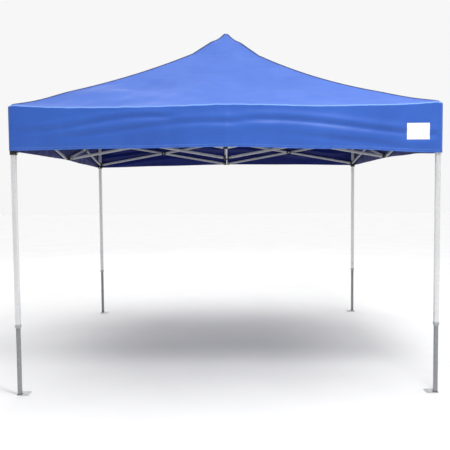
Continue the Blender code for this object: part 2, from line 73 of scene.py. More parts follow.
leg_low, leg_high = (Vector(point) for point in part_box("upper_leg_front_left"))
HALF = -(leg_low.x + leg_high.x) / 2  # middle of the canopy to a leg's axis
UPPER_WIDTH = leg_high.x - leg_low.x
UPPER_BOTTOM, UPPER_TOP = leg_low.z, leg_high.z
bracket_pivot = joint_place("frame_fold")
connector_pivot = joint_place("lower_connector_front_hinge")
TOP_Z, LOW_Z = bracket_pivot.z, connector_pivot.z
LEG_TO_PIVOT = bracket_pivot.x + HALF
CONNECTOR_TO_PIVOT = -connector_pivot.x
CONNECTOR_TO_INNER = joint_place("inner_bar_front_lower_hinge").y + HALF
HUB_TO_PIVOT = -joint_place("upper_centre_hub_hinge").y
BAR_LENGTH = (connector_pivot - bracket_pivot).length


def quarter_turn(count):
    return Matrix.Rotation(count * math.pi / 2, 4, "Z")


def corner_frame(index, z=0.0):
    """Axes at a leg: +X and +Y run along its two sides, towards the other legs."""
    return quarter_turn(index) @ Matrix.Translation((-HALF, -HALF, z))


def side_frame(index, z=0.0):
    """Axes at the middle of a side: +X along the side, +Y towards the canopy's middle."""
    return quarter_turn(index) @ Matrix.Translation((0.0, -HALF, z))


def corner_of(index, hand):
    """The corner at the -X (hand -1) or +X (hand 1) end of a side."""
    return CORNERS[(index + (hand + 1) // 2) % 4]


# Materials -------------------------------------------------------------------------------


class Shader:
    """A Principled material with short calls for its nodes."""

    def __init__(self, name, **constants):
        self.material = bpy.data.materials.new(name)
        self.material.use_nodes = True
        self.tree = self.material.node_tree
        self.surface = self.tree.nodes["Principled BSDF"]
        for socket, value in constants.items():
            self.surface.inputs[socket.replace("_", " ")].default_value = value

    def node(self, kind, inputs=None, **settings):
        item = self.tree.nodes.new("ShaderNode" + kind)
        for key, value in settings.items():
            setattr(item, key, value)
        for key, value in (inputs or {}).items():
            self.feed(value, item.inputs[key])
        return item

    def feed(self, value, socket):
        if isinstance(value, bpy.types.NodeSocket):
            self.tree.links.new(value, socket)
        else:
            socket.default_value = value

    def place(self, kind="Object", scale=(1.0, 1.0, 1.0)):
        coordinates = self.node("TexCoord").outputs[kind]
        if scale == (1.0, 1.0, 1.0):
            return coordinates
        return self.node("Mapping", {"Vector": coordinates, "Scale": scale}).outputs["Vector"]

    def noise(self, vector, scale, detail=2.0, roughness=0.5):
        inputs = {"Vector": vector, "Scale": scale, "Detail": detail, "Roughness": roughness}
        return self.node("TexNoise", inputs).outputs["Fac"]

    def ramp(self, value, *stops):
        """Maps a value through (position, grey or colour) stops."""
        item = self.node("ValToRGB", {"Fac": value})
        elements = item.color_ramp.elements
        while len(elements) < len(stops):
            elements.new(0.5)
        for element, (position, colour) in zip(elements, stops):
            element.position = position
            grey = isinstance(colour, float)
            element.color = (colour, colour, colour, 1.0) if grey else (*colour, 1.0)
        return item.outputs["Color"]

    def mix(self, factor, first, second):
        item = self.node("Mix", data_type="RGBA")
        self.feed(factor, item.inputs[0])
        for socket, value in ((item.inputs[6], first), (item.inputs[7], second)):
            self.feed((*value, 1.0) if isinstance(value, tuple) else value, socket)
        return item.outputs[2]

    def math(self, operation, first, second=0.0):
        return self.node("Math", {0: first, 1: second}, operation=operation).outputs["Value"]

    def bump(self, height, distance, strength=1.0, below=None):
        inputs = {"Height": height, "Distance": distance, "Strength": strength}
        if below is not None:
            inputs["Normal"] = below
        return self.node("Bump", inputs).outputs["Normal"]

    def set(self, **sockets):
        for name, value in sockets.items():
            self.feed(value, self.surface.inputs[name.replace("_", " ")])
        return self.material


def powder_coat(name, light, dark, worn, roughness):
    """Hammered powder coat on steel: fine cells, faint streaks, and bare metal along edges."""
    shader = Shader(name, Metallic=0.40, Coat_Weight=0.15, Coat_Roughness=0.3)
    place = shader.place()
    voronoi = shader.node("TexVoronoi", {"Vector": place, "Scale": 240.0}, feature="SMOOTH_F1")
    cells = voronoi.outputs["Distance"]
    mottle = shader.noise(place, 60.0, 4.0)
    streaks = shader.noise(shader.place(scale=(40.0, 40.0, 2.5)), 1.0, 3.0)
    tone = shader.math("MULTIPLY", mottle, streaks)
    colour = shader.mix(shader.ramp(tone, (0.12, 0.0), (0.42, 1.0)), dark, light)
    edges = shader.ramp(shader.node("NewGeometry").outputs["Pointiness"], (0.53, 0.0), (0.60, 1.0))
    chips = shader.ramp(shader.noise(place, 180.0, 5.0), (0.48, 0.0), (0.68, 0.30))
    colour = shader.mix(shader.math("MULTIPLY", edges, chips), colour, worn)
    grain = shader.bump(shader.noise(place, 900.0, 2.0), 0.00006, 0.5)
    normal = shader.bump(cells, 0.0003, 0.28, below=grain)
    rough = shader.ramp(mottle, (0.3, roughness - 0.06), (0.7, roughness + 0.10))
    return shader.set(Base_Color=colour, Roughness=rough, Normal=normal)


def moulded_nylon(name):
    """Black glass-filled nylon: fine spark-eroded grain, faint flow marks, and paler rubbed edges."""
    shader = Shader(name, Specular_IOR_Level=0.45)
    place = shader.place()
    flow = shader.noise(shader.place(scale=(30.0, 30.0, 90.0)), 1.0, 3.0)
    colour = shader.ramp(flow, (0.3, (0.012, 0.012, 0.014)), (0.7, (0.030, 0.030, 0.033)))
    edges = shader.ramp(shader.node("NewGeometry").outputs["Pointiness"], (0.52, 0.0), (0.62, 0.55))
    colour = shader.mix(edges, colour, (0.11, 0.11, 0.115))
    normal = shader.bump(shader.noise(place, 1400.0, 3.0), 0.00012, 0.6)
    rough = shader.ramp(shader.noise(place, 120.0, 3.0), (0.35, 0.42), (0.65, 0.62))
    return shader.set(Base_Color=colour, Roughness=rough, Normal=normal)


def zinc_plate(name):
    """Zinc-plated steel with turning marks and a little tarnish."""
    shader = Shader(name, Metallic=0.95)
    place = shader.place()
    tarnish = shader.noise(place, 90.0, 4.0)
    colour = shader.ramp(tarnish, (0.35, (0.42, 0.41, 0.38)), (0.6, (0.66, 0.66, 0.64)))
    marks = shader.noise(shader.place(scale=(900.0, 900.0, 120.0)), 1.0, 2.0)
    normal = shader.bump(marks, 0.00008, 0.4)
    rough = shader.ramp(tarnish, (0.3, 0.40), (0.7, 0.26))
    return shader.set(Base_Color=colour, Roughness=rough, Normal=normal)


THREAD_SCALE = 520.0  # makes threads about 0.6 mm wide
STITCH_LENGTH = 0.0035
RIB_SCALE = 300.0  # ribs across a tape, about 1 mm wide


def woven(name, light, dark, roughness=0.50, sheen=0.04):
    """Coated polyester cloth on metric UVs: a plain weave, cloudy dye and slubs, over fine crumples."""
    shader = Shader(name, Sheen_Weight=sheen, Sheen_Roughness=0.45, Specular_IOR_Level=0.32)
    place = shader.place("UV")
    threads = {"Vector": place, "Scale": THREAD_SCALE}
    warp, weft = (shader.node("TexWave", threads, bands_direction=axis).outputs["Fac"] for axis in "XY")
    weave = shader.math("MULTIPLY", warp, weft)
    clouds = shader.noise(place, 2.2, 5.0, 0.55)
    slubs = shader.noise(shader.place("UV", (8.0, 260.0, 1.0)), 1.0, 2.0)
    tone = shader.math("ADD", shader.math("MULTIPLY", clouds, 0.75), shader.math("MULTIPLY", slubs, 0.25))
    colour = shader.mix(shader.ramp(tone, (0.32, 0.0), (0.66, 1.0)), dark, light)
    colour = shader.mix(shader.math("MULTIPLY", weave, 0.22), colour, tuple(1.35 * part for part in light))
    crush = shader.noise(place, 26.0, 4.0, 0.6)
    folds = shader.bump(crush, 0.0016, 0.30)
    normal = shader.bump(weave, 0.00010, 0.35, below=folds)
    rough = shader.ramp(clouds, (0.3, roughness + 0.06), (0.7, roughness - 0.05))
    return shader.set(Base_Color=colour, Roughness=rough, Normal=normal)


def stitched(name, light, dark, thread):
    """Seam tape with lockstitch near each edge. u is metres along it and v is 0 to 1 across it."""
    shader = Shader(name, Sheen_Weight=0.2, Specular_IOR_Level=0.35)
    split = shader.node("SeparateXYZ", {"Vector": shader.place("UV")})
    run, across = split.outputs["X"], split.outputs["Y"]
    period = shader.math("FRACT", shader.math("DIVIDE", run, STITCH_LENGTH))
    dash = shader.ramp(period, (0.10, 0.0), (0.25, 1.0), (0.75, 1.0), (0.90, 0.0))
    edge = shader.math("ABSOLUTE", shader.math("SUBTRACT", across, 0.5))
    row = shader.math("ABSOLUTE", shader.math("SUBTRACT", edge, 0.34))
    line = shader.ramp(row, (0.03, 1.0), (0.07, 0.0))
    stitch = shader.math("MULTIPLY", dash, line)
    along = shader.place("UV", (1.0, 0.0, 0.0))
    ribs = shader.node("TexWave", {"Vector": along, "Scale": RIB_SCALE}).outputs["Fac"]
    cloud = shader.noise(shader.place("UV", (30.0, 2.0, 1.0)), 1.0, 3.0)
    colour = shader.mix(shader.ramp(cloud, (0.3, 0.0), (0.7, 1.0)), dark, light)
    colour = shader.mix(stitch, colour, thread)
    groove = shader.bump(shader.ramp(row, (0.0, 0.0), (0.12, 1.0)), 0.0006, 0.6)
    threads = shader.bump(stitch, 0.0005, 0.8, below=groove)
    normal = shader.bump(ribs, 0.00010, 0.3, below=threads)
    rough = shader.ramp(cloud, (0.3, 0.70), (0.7, 0.58))
    return shader.set(Base_Color=colour, Roughness=rough, Normal=normal)


BLUE_LIGHT, BLUE_DARK = (0.034, 0.120, 0.500), (0.024, 0.092, 0.420)
# The inside's navy is painted shade: the cloth is the same blue on both faces and is only unlit inside.
NAVY_SHADE_LIGHT, NAVY_SHADE_DARK = (0.003, 0.013, 0.160), (0.002, 0.008, 0.115)

# Each paint's light and dark tones, its rubbed edges, and its roughness
LEG_PAINT = powder_coat(
    "hammered_leg_paint", (0.84, 0.84, 0.85), (0.70, 0.71, 0.72), (0.88, 0.88, 0.87), 0.34
)
LOWER_PAINT = powder_coat(
    "lower_leg_paint", (0.33, 0.335, 0.345), (0.23, 0.235, 0.245), (0.72, 0.72, 0.71), 0.40
)
COLLAR_PAINT = powder_coat(
    "collar_paint", (0.50, 0.51, 0.52), (0.38, 0.39, 0.40), (0.70, 0.70, 0.69), 0.45
)
# The weld's near-black is partly a dark weld and partly a painted contact shadow at the foot of the leg.
WELD_SHADOW_PAINT = powder_coat(
    "weld_paint_contact_shadow", (0.10, 0.10, 0.11), (0.05, 0.05, 0.055), (0.30, 0.30, 0.29), 0.55
)
FOOT_PAINT = powder_coat(
    "foot_paint", (0.62, 0.62, 0.62), (0.45, 0.45, 0.46), (0.78, 0.78, 0.77), 0.42
)
POLE_PAINT = powder_coat(
    "pole_paint", (0.64, 0.65, 0.66), (0.52, 0.53, 0.54), (0.80, 0.80, 0.79), 0.36
)
BAR_PAINT = powder_coat(
    "truss_bar_paint", (0.50, 0.51, 0.53), (0.38, 0.39, 0.41), (0.76, 0.76, 0.75), 0.38
)
NYLON = moulded_nylon("moulded_black_nylon")
ZINC = zinc_plate("zinc_plated_steel")
CLOTH_OUT = woven("blue_polyester_outside", BLUE_LIGHT, BLUE_DARK)
# The cover's inside wears the navy painted shade.
CLOTH_IN_PAINTED_SHADE = woven("blue_polyester_inside_painted_shade", NAVY_SHADE_LIGHT, NAVY_SHADE_DARK, 0.5, 0.1)
TAPE = stitched("blue_seam_tape", BLUE_LIGHT, BLUE_DARK, (0.10, 0.24, 0.72))
PIPING = stitched("navy_hip_tape", (0.005, 0.016, 0.110), (0.003, 0.011, 0.080), (0.03, 0.07, 0.30))
# Pale eave tape: its light blue is a painted highlight that stands for the sheen on the bend between roof
# and valance.
EAVE_HIGHLIGHT_TAPE = stitched(
    "eave_tape_painted_highlight", (0.170, 0.350, 0.820), (0.120, 0.280, 0.760), (0.26, 0.45, 0.88)
)
BLANK_PATCH = woven("white_sewn_patch", (0.86, 0.87, 0.88), (0.78, 0.79, 0.81), 0.55, 0.1)

# Meshes ----------------------------------------------------------------------------------

SMOOTH_ANGLE = math.radians(38)


def finished(bm, name):
    """Turns a bmesh into a mesh with smooth faces and crisp edges."""
    bmesh.ops.recalc_face_normals(bm, faces=bm.faces)
    mesh = bpy.data.meshes.new(name)
    bm.to_mesh(mesh)
    bm.free()
    mesh.shade_smooth()
    mesh.set_sharp_from_angle(angle=SMOOTH_ANGLE)
    return mesh


def loft(name, loops, ring=False):
    """Skins loops of as many points each. A ring also joins its last loop to its first."""
    bm = bmesh.new()
    rows = [[bm.verts.new(point) for point in loop] for loop in loops]
    pairs = list(zip(rows, rows[1:]))
    if ring:
        pairs.append((rows[-1], rows[0]))
    count = len(rows[0])
    for low, high in pairs:
        for index in range(count):
            after = (index + 1) % count
            bm.faces.new((low[index], low[after], high[after], high[index]))
    if not ring:
        bm.faces.new(rows[0])
        bm.faces.new(rows[-1])
    return finished(bm, name)


def rounded_outline(width, depth, radius, steps=4):
    """Points round a rectangle with rounded corners, anticlockwise."""
    points = []
    for quarter in range(4):
        side_x = 1 if quarter in (0, 3) else -1
        side_y = 1 if quarter in (0, 1) else -1
        centre = (side_x * (width / 2 - radius), side_y * (depth / 2 - radius))
        for step in range(steps + 1):
            angle = (quarter + step / steps) * math.pi / 2
            points.append((centre[0] + radius * math.cos(angle), centre[1] + radius * math.sin(angle)))
    return points


def tube(name, width, depth, wall, radius, start, end, chamfer=0.0004):
    """A hollow tube along Z with rounded corners and eased ends."""

    def loop(inset, z):
        outline = rounded_outline(width - 2 * inset, depth - 2 * inset, max(radius - inset, 0.0006))
        return [(x, y, z) for x, y in outline]

    loops = [
        loop(chamfer, start),
        loop(0.0, start + chamfer),
        loop(0.0, end - chamfer),
        loop(chamfer, end),
        loop(wall, end),
        loop(wall, start),
    ]
    return loft(name, loops, ring=True)


def plug(name, width, depth, radius, levels):
    """A solid along Z from (z, inset) levels of one rounded outline."""
    loops = []
    for z, inset in levels:
        outline = rounded_outline(width - 2 * inset, depth - 2 * inset, max(radius - inset, 0.0003))
        loops.append([(x, y, z) for x, y in outline])
    return loft(name, loops)


def turned(name, profile, sides=24):
    """A turned solid about Z from (radius, z) points."""
    loops = []
    for radius, z in profile:
        angles = [2 * math.pi * side / sides for side in range(sides)]
        loops.append([(radius * math.cos(angle), radius * math.sin(angle), z) for angle in angles])
    return loft(name, loops)


def dome(radius, height, base, direction=1, steps=5, flat=0.0004):
    """(radius, z) points of a rivet's dome from its rim to its top."""
    points = []
    for step in range(steps + 1):
        angle = step / steps * math.pi / 2
        points.append((max(radius * math.cos(angle), flat), base + direction * height * math.sin(angle)))
    return points


def rounded_block(low, high, radius, steps=3):
    """A box between two corners with rounded edges."""
    bm = bmesh.new()
    low, high = Vector(low), Vector(high)
    place = Matrix.Translation((low + high) / 2) @ Matrix.Diagonal((*(high - low), 1.0))
    bmesh.ops.create_cube(bm, size=1.0, matrix=place)
    bmesh.ops.bevel(bm, geom=bm.edges[:], offset=radius, segments=steps, profile=0.5, affect="EDGES")
    return finished(bm, "block")


def plate(outline, low, high, radius, axis="Y"):
    """An upright plate over an outline of (distance, z) points, from low to high across it."""
    bm = bmesh.new()
    spot = (lambda u, w, v: (u, w, v)) if axis == "Y" else (lambda u, w, v: (w, u, v))
    base = bm.faces.new([bm.verts.new(spot(u, low, v)) for u, v in outline])
    rise = bmesh.ops.extrude_face_region(bm, geom=[base])
    moved = [item for item in rise["geom"] if isinstance(item, bmesh.types.BMVert)]
    bmesh.ops.translate(bm, vec=spot(0.0, high - low, 0.0), verts=moved)
    bmesh.ops.recalc_face_normals(bm, faces=bm.faces)
    rims = [edge for edge in bm.edges if len({round(v.co["XY".index(axis)], 6) for v in edge.verts}) == 1]
    bmesh.ops.bevel(bm, geom=rims, offset=radius, segments=2, profile=0.5, affect="EDGES")
    return finished(bm, "plate")


def moved(mesh, matrix):
    copy = mesh.copy()
    copy.transform(matrix)
    if matrix.determinant() < 0:
        copy.flip_normals()
    return copy


def along_axis(axis):
    """Turns a piece made along Z so that it lies along X, Y or Z."""
    if axis == "Z":
        return Matrix.Identity(4)
    return Matrix.Rotation(math.pi / 2, 4, "Y") if axis == "X" else Matrix.Rotation(-math.pi / 2, 4, "X")


def carve(name, solids, cuts=()):
    """Joins the solids into one body and takes the cuts away from it."""
    helpers = [bpy.data.objects.new("helper", mesh) for mesh in (*solids, *cuts)]
    for helper in helpers:
        bpy.context.scene.collection.objects.link(helper)
    base = helpers[0]
    for index, helper in enumerate(helpers[1:], start=1):
        step = base.modifiers.new("step", "BOOLEAN")
        step.operation = "UNION" if index < len(solids) else "DIFFERENCE"
        step.solver = "EXACT"
        step.object = helper
    mesh = bpy.data.meshes.new_from_object(base.evaluated_get(bpy.context.evaluated_depsgraph_get()))
    mesh.name = name
    for helper in helpers:
        bpy.data.objects.remove(helper)
    mesh.shade_smooth()
    mesh.set_sharp_from_angle(angle=SMOOTH_ANGLE)
    return mesh


def together(name, meshes):
    """Several meshes as one, without joining their surfaces."""
    bm = bmesh.new()
    for mesh in meshes:
        bm.from_mesh(mesh)
    mesh = bpy.data.meshes.new(name)
    bm.to_mesh(mesh)
    bm.free()
    return mesh


def piece(name, mesh, place, body, material, replaces=()):
    """A finished piece in its place, riding on a body."""
    item = bpy.data.objects.new(name, mesh)
    bpy.context.scene.collection.objects.link(item)
    if not mesh.materials:
        mesh.materials.append(material)
    item.matrix_world = place
    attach(item, body)
    if replaces:
        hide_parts(*replaces)
    return item


# The cover's shape -----------------------------------------------------------------------

REACH = Vector(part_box("canopy_cover")[1]).x  # middle of the canopy to the valance
CLOTH = 0.0010
EAVE_RADIUS = 0.013  # bend between roof and valance
EAVE_SLOPE = math.radians(24)  # roof's slope where it meets the bend
ROOF_EDGE = REACH - EAVE_RADIUS * (1 - math.sin(EAVE_SLOPE))
CORNER_RADIUS = 0.014
BEND_LENGTH = EAVE_RADIUS * (math.pi / 2 - EAVE_SLOPE)
EAVE_BAND = 1.418  # the roof beyond this reach folds with the legs
PANEL_CUT = 0.550  # a roof panel's outer and inner cloth part here, to fold with different bars

EAVE_Z = 2.000  # between a corner and the middle of a side
EAVE_LIFT_MIDDLE = 0.014  # over the upper connector
EAVE_LIFT_CORNER = 0.018  # over the corner bracket
ROOF_BASE_Z = 2.030
ROOF_RISE = 0.768
HIP_SAG = 0.086
PANEL_SAG = 0.020
LEAN = 0.016  # the cover hangs a little higher on its left
TIP_SHIFT = 0.008  # the pole leans a little to the right
TIP_RISE, TIP_REACH, TIP_ROUNDING = 0.0625, 0.285, 0.016
PATCH_REACH = 0.285  # half-width of the reinforced square at the peak
CREASE_REACHES = (0.0, 0.37, 0.74, 1.11)  # lines where the cover is folded for storage

# Height of the hem at five places along each side, and tension folds as (distance, z) lines with depths
HEM = {
    "front": (1.708, 1.716, 1.7225, 1.703, 1.672),
    "right": (1.672, 1.702, 1.714, 1.706, 1.698),
    "rear": (1.698, 1.710, 1.716, 1.704, 1.690),
    "left": (1.690, 1.702, 1.717, 1.713, 1.708),
}
TENSION_FOLDS = (
    (((-1.45, 1.840), (-1.05, 1.867), (-0.757, 1.916), (-0.45, 1.930)), 0.0085),
    (((-1.20, 1.797), (-0.757, 1.829), (-0.557, 1.867), (-0.24, 1.887), (0.0, 1.892)), 0.0070),
    (((0.046, 1.898), (0.685, 1.880), (0.96, 1.840), (1.18, 1.817), (1.475, 1.793)), 0.0085),
    (((0.44, 1.800), (0.80, 1.765), (1.20, 1.710)), 0.0040),
)
FOLD_WIDTH = 0.026
PATCH_MIDDLE = (1.315, 1.818)  # along the front and height of the stiff sewn patch


def smooth(value, start, end):
    """0 before start, 1 after end, and eased between them."""
    share = np.clip((np.asarray(value) - start) / (end - start), 0.0, 1.0)
    return share * share * (3 - 2 * share)


def ripples(x, y, wavelength, seed, count=7):
    """A soft uneven ripple of about -1 to 1."""
    random = np.random.default_rng(seed)
    total = 0.0
    for _ in range(count):
        heading, phase = random.uniform(0, 2 * math.pi, 2)
        number = 2 * math.pi / (wavelength * random.uniform(0.75, 1.35))
        total = total + np.sin(number * (x * math.cos(heading) + y * math.sin(heading)) + phase)
    return total / math.sqrt(count / 2)


def eave_height(along):
    """Height of the roof's edge: it hangs between the corners and the middle of a side."""
    corner_gap = (REACH - np.abs(along)) / 0.18
    middle = EAVE_LIFT_MIDDLE * np.exp(-((along / 0.35) ** 2))
    return EAVE_Z + middle + EAVE_LIFT_CORNER * np.exp(-(corner_gap**2))


def roof_height(x, y):
    reach = np.maximum(np.abs(x), np.abs(y))
    along = np.minimum(np.abs(x), np.abs(y))
    cone = 0.8 * (1 - smooth(reach, 0.03, 0.14))
    eased = np.hypot(reach + cone * (np.hypot(x, y) - reach), TIP_ROUNDING)
    share = np.minimum(eased / REACH, 1.0)
    across = along / np.maximum(reach, 1e-6)
    swell = 4 * share * (1 - share)
    height = ROOF_BASE_Z + ROOF_RISE * (1 - share) - HIP_SAG * swell
    height = height - PANEL_SAG * (1 - across**2) * swell
    height = height + (eave_height(along) - ROOF_BASE_Z) * smooth(reach, 1.12, ROOF_EDGE)
    height = height + TIP_RISE * np.clip(1 - eased / TIP_REACH, 0.0, 1.0)
    tilt = -4 * LEAN * (x / REACH) * (1 - np.abs(x) / REACH)
    height = height + tilt * (1 - smooth(reach, 1.15, ROOF_EDGE))
    corner_gap = np.hypot(REACH - np.abs(x), REACH - np.abs(y))
    height = height - 0.016 * np.clip(1 - corner_gap / 0.045, 0.0, 1.0) ** 2
    return height + roof_relief(x, y, reach, along)


def roof_relief(x, y, reach, along):
    """Undulation, storage creases, puckers at the seams, and the patch at the peak."""
    hip_gap = (reach - along) / math.sqrt(2)
    calm = smooth(reach, 0.02, 0.15) * (1 - 0.6 * smooth(reach, 1.3, ROOF_EDGE))
    calm = calm * smooth(hip_gap, 0.0, 0.16)
    relief = calm * (0.0042 * ripples(x, y, 0.62, 3) + 0.0015 * ripples(x, y, 0.17, 5))
    for index, line in enumerate(CREASE_REACHES):
        sign = 1 if index % 2 else -1
        for distance in (along - line, reach - line if line else reach + 1.0):
            crease = np.exp(-((distance / 0.010) ** 2))
            shoulder = np.exp(-((distance / 0.045) ** 2))
            relief = relief + sign * calm * (0.0014 * crease + 0.0012 * shoulder)
    pull = ripples(reach, 0.0 * reach, 0.045, 11)
    relief = relief + 0.0011 * pull * smooth(hip_gap, 0.0, 0.012) * np.exp(-hip_gap / 0.030)
    near_eave = np.exp(-(ROOF_EDGE - reach) / 0.030)
    relief = relief + 0.0003 * near_eave * ripples(along, 0.0 * along, 0.050, 13)
    patch = 1 - smooth(reach, PATCH_REACH - 0.002, PATCH_REACH + 0.002)
    seam = np.exp(-(((reach - PATCH_REACH) / 0.010) ** 2))
    pull = ripples(along, 0.0 * along, 0.042, 17)
    return relief + 0.0010 * patch - 0.0012 * seam + 0.0010 * seam * pull


def rounded_ring(reach, along, radius):
    """A square ring's point once its corners are rounded, as (along, out), and its outward normal."""
    straight = reach - radius
    over = np.clip(np.abs(along) - straight, 0.0, None)
    angle = np.where(radius > 1e-9, over / np.maximum(radius, 1e-9), 0.0) * math.pi / 4
    sign = np.sign(along)
    turned_along = np.where(over > 0, sign * (straight + radius * np.sin(angle)), along)
    turned_out = np.where(over > 0, straight + radius * np.cos(angle), reach)
    return turned_along, turned_out, sign * np.sin(angle), np.cos(angle)


def to_plan(side, along, out):
    """World x and y of a point beside a side. side can be an array of quarter turns."""
    cosine = np.round(np.cos(np.asarray(side) * math.pi / 2))
    sine = np.round(np.sin(np.asarray(side) * math.pi / 2))
    return cosine * along + sine * out, sine * along - cosine * out


def roof_surface(x, y):
    """Points of the roof for plan points inside the square of the roof's edge."""
    x, y = np.asarray(x, float), np.asarray(y, float)
    sideways = np.abs(x) > np.abs(y)
    side = np.where(sideways, np.where(x > 0, 1, 3), np.where(y > 0, 2, 0))
    reach = np.maximum(np.abs(x), np.abs(y))
    cosine, sine = np.round(np.cos(side * math.pi / 2)), np.round(np.sin(side * math.pi / 2))
    along = cosine * x + sine * y
    radius = CORNER_RADIUS * smooth(reach, 1.38, ROOF_EDGE)
    new_along, new_out, _, _ = rounded_ring(reach, along, radius)
    new_x, new_y = to_plan(side, new_along, new_out)
    new_x = new_x + TIP_SHIFT * np.exp(-((reach / 0.45) ** 2))
    return np.stack([new_x, new_y, roof_height(x, y)], axis=-1)


def hem_height(side, along):
    """Eased between the five heights of each side."""
    heights = np.array([HEM[name] for name in SIDES])
    spot = np.clip((along / ROOF_EDGE + 1) * 2, 0.0, 4.0)
    start = np.minimum(spot.astype(int), 3)
    share = smooth(spot - start, 0.0, 1.0)
    side = np.asarray(side)
    return heights[side, start] * (1 - share) + heights[side, start + 1] * share


def valance_length(side, along):
    """Length of the cloth from the roof's edge over the bend to the hem."""
    x, y = to_plan(side, along, ROOF_EDGE)
    drop = roof_height(x, y) - EAVE_RADIUS * math.cos(EAVE_SLOPE) - hem_height(side, along)
    return BEND_LENGTH + drop


def fold_relief(along, height, mirror, shift, gain):
    """Depth of the tension folds that run from the held middle of the eave down to the corners."""
    relief = 0.0
    local = mirror * along + shift
    for line, depth in TENSION_FOLDS:
        places, heights = np.array(line).T
        course = np.polynomial.Polynomial.fit(places, heights, min(3, len(places) - 1))
        inside = np.clip(local, places[0], places[-1])
        offset = (height - course(inside)) / FOLD_WIDTH
        window = np.exp(-(((local - inside) / 0.09) ** 2))
        window = window * (0.35 + 0.65 * smooth(local, places[0] - 0.02, places[0] + 0.25))
        bulge = 0.75 * np.exp(-((offset - 1.25) ** 2)) + 0.50 * np.exp(-(((offset + 1.6) / 1.3) ** 2))
        relief = relief + gain * depth * window * (bulge - np.exp(-2.2 * offset**2))
    return relief


# Each side's own version of the folds: mirror, shift and gain
FOLD_VARIANTS = ((1, 0.0, 1.0), (-1, 0.05, 0.85), (1, -0.08, 0.9), (-1, -0.03, 1.0))


def valance_relief(side, along, height, down, length):
    """How far the valance stands out from the plane of its side."""
    side = np.asarray(side)
    relief = np.zeros(np.broadcast(side, along, height).shape)
    for index, (mirror, shift, gain) in enumerate(FOLD_VARIANTS):
        relief = relief + np.where(side == index, fold_relief(along, height, mirror, shift, gain), 0.0)
    hang = np.clip((down - BEND_LENGTH) / (length - BEND_LENGTH), 0.0, 1.0)
    seed_shift = 7.3 * side
    relief = relief + 0.0030 * hang**1.5 * ripples(along + seed_shift, 0.35 * height, 0.55, 23)
    relief = relief + 0.0011 * hang * ripples(along + seed_shift, height, 0.16, 29)
    relief = relief + 0.0040 * np.sin(math.pi * hang) ** 2
    for index, line in enumerate(CREASE_REACHES):
        sign = -1 if index % 2 else 1
        distance = np.abs(along) - line
        crease = 0.0011 * np.exp(-((distance / 0.007) ** 2))
        crease = crease + 0.0010 * np.exp(-((distance / 0.035) ** 2))
        relief = relief + sign * crease * smooth(hang, 0.03, 0.2)
    near_eave = np.exp(-(((down - BEND_LENGTH - 0.012) / 0.022) ** 2))
    relief = relief + 0.0005 * near_eave * ripples(along + seed_shift, 0.0 * along, 0.045, 31)
    near_hem = np.exp(-(length - down) / 0.030)
    relief = relief + 0.0010 * near_hem * ripples(along + seed_shift, 0.0 * along, 0.060, 37)
    free = smooth(ROOF_EDGE - np.abs(along), 0.004, 0.070)
    aside = smooth(np.abs(along - PATCH_MIDDLE[0]), 0.06, 0.11)
    aside = aside + smooth(np.abs(height - PATCH_MIDDLE[1]), 0.045, 0.085)
    free = free * np.where(side == 0, np.clip(aside, 0.12, 1.0), 1.0)
    return relief * free * smooth(down, BEND_LENGTH * 0.6, BEND_LENGTH + 0.030)


def valance_surface(side, along, down):
    """Points of the cloth beyond the roof's edge. down is measured along the cloth from that edge."""
    side, along, down = np.broadcast_arrays(side, np.asarray(along, float), np.asarray(down, float))
    border_along, border_out, normal_along, normal_out = rounded_ring(ROOF_EDGE, along, CORNER_RADIUS)
    x, y = to_plan(side, along, ROOF_EDGE)
    centre_z = roof_height(x, y) - EAVE_RADIUS * math.cos(EAVE_SLOPE)
    bend = np.clip(EAVE_SLOPE + down / EAVE_RADIUS, EAVE_SLOPE, math.pi / 2)
    height = centre_z + EAVE_RADIUS * np.cos(bend) - np.clip(down - BEND_LENGTH, 0.0, None)
    out = EAVE_RADIUS * (np.sin(bend) - math.sin(EAVE_SLOPE))
    out = out + valance_relief(side, along, height, down, valance_length(side, along))
    world_x, world_y = to_plan(side, border_along + normal_along * out, border_out + normal_out * out)
    return np.stack([world_x, world_y, height], axis=-1)


# The cover's mesh ------------------------------------------------------------------------


def grid_lines():
    """Distances from the middle at which the cloth's grid has lines: closer at the peak and at the eave."""
    stops = ((0.0, 0.060, 10), (0.060, PANEL_CUT, 36), (PANEL_CUT, 1.350, 56), (1.350, EAVE_BAND, 5))
    half = np.concatenate([np.linspace(low, high, count, endpoint=False) for low, high, count in stops])
    half = np.append(half, np.linspace(EAVE_BAND, ROOF_EDGE, 9))
    return np.concatenate([-half[:0:-1], half])


BEND_STEPS, VALANCE_STEPS = 4, 26
LINES = grid_lines()
COUNT = len(LINES)


def roof_faces():
    """Quads of the square grid, with two triangles in each cell on a hip."""
    quads, triangles = [], []
    for column in range(COUNT - 1):
        for row in range(COUNT - 1):
            a, b = column * COUNT + row, (column + 1) * COUNT + row
            c, d = b + 1, a + 1
            if column == row:
                triangles += [(a, b, c), (a, c, d)]
            elif column + row == COUNT - 2:
                triangles += [(a, b, d), (b, c, d)]
            else:
                quads.append((a, b, c, d))
    return quads + triangles


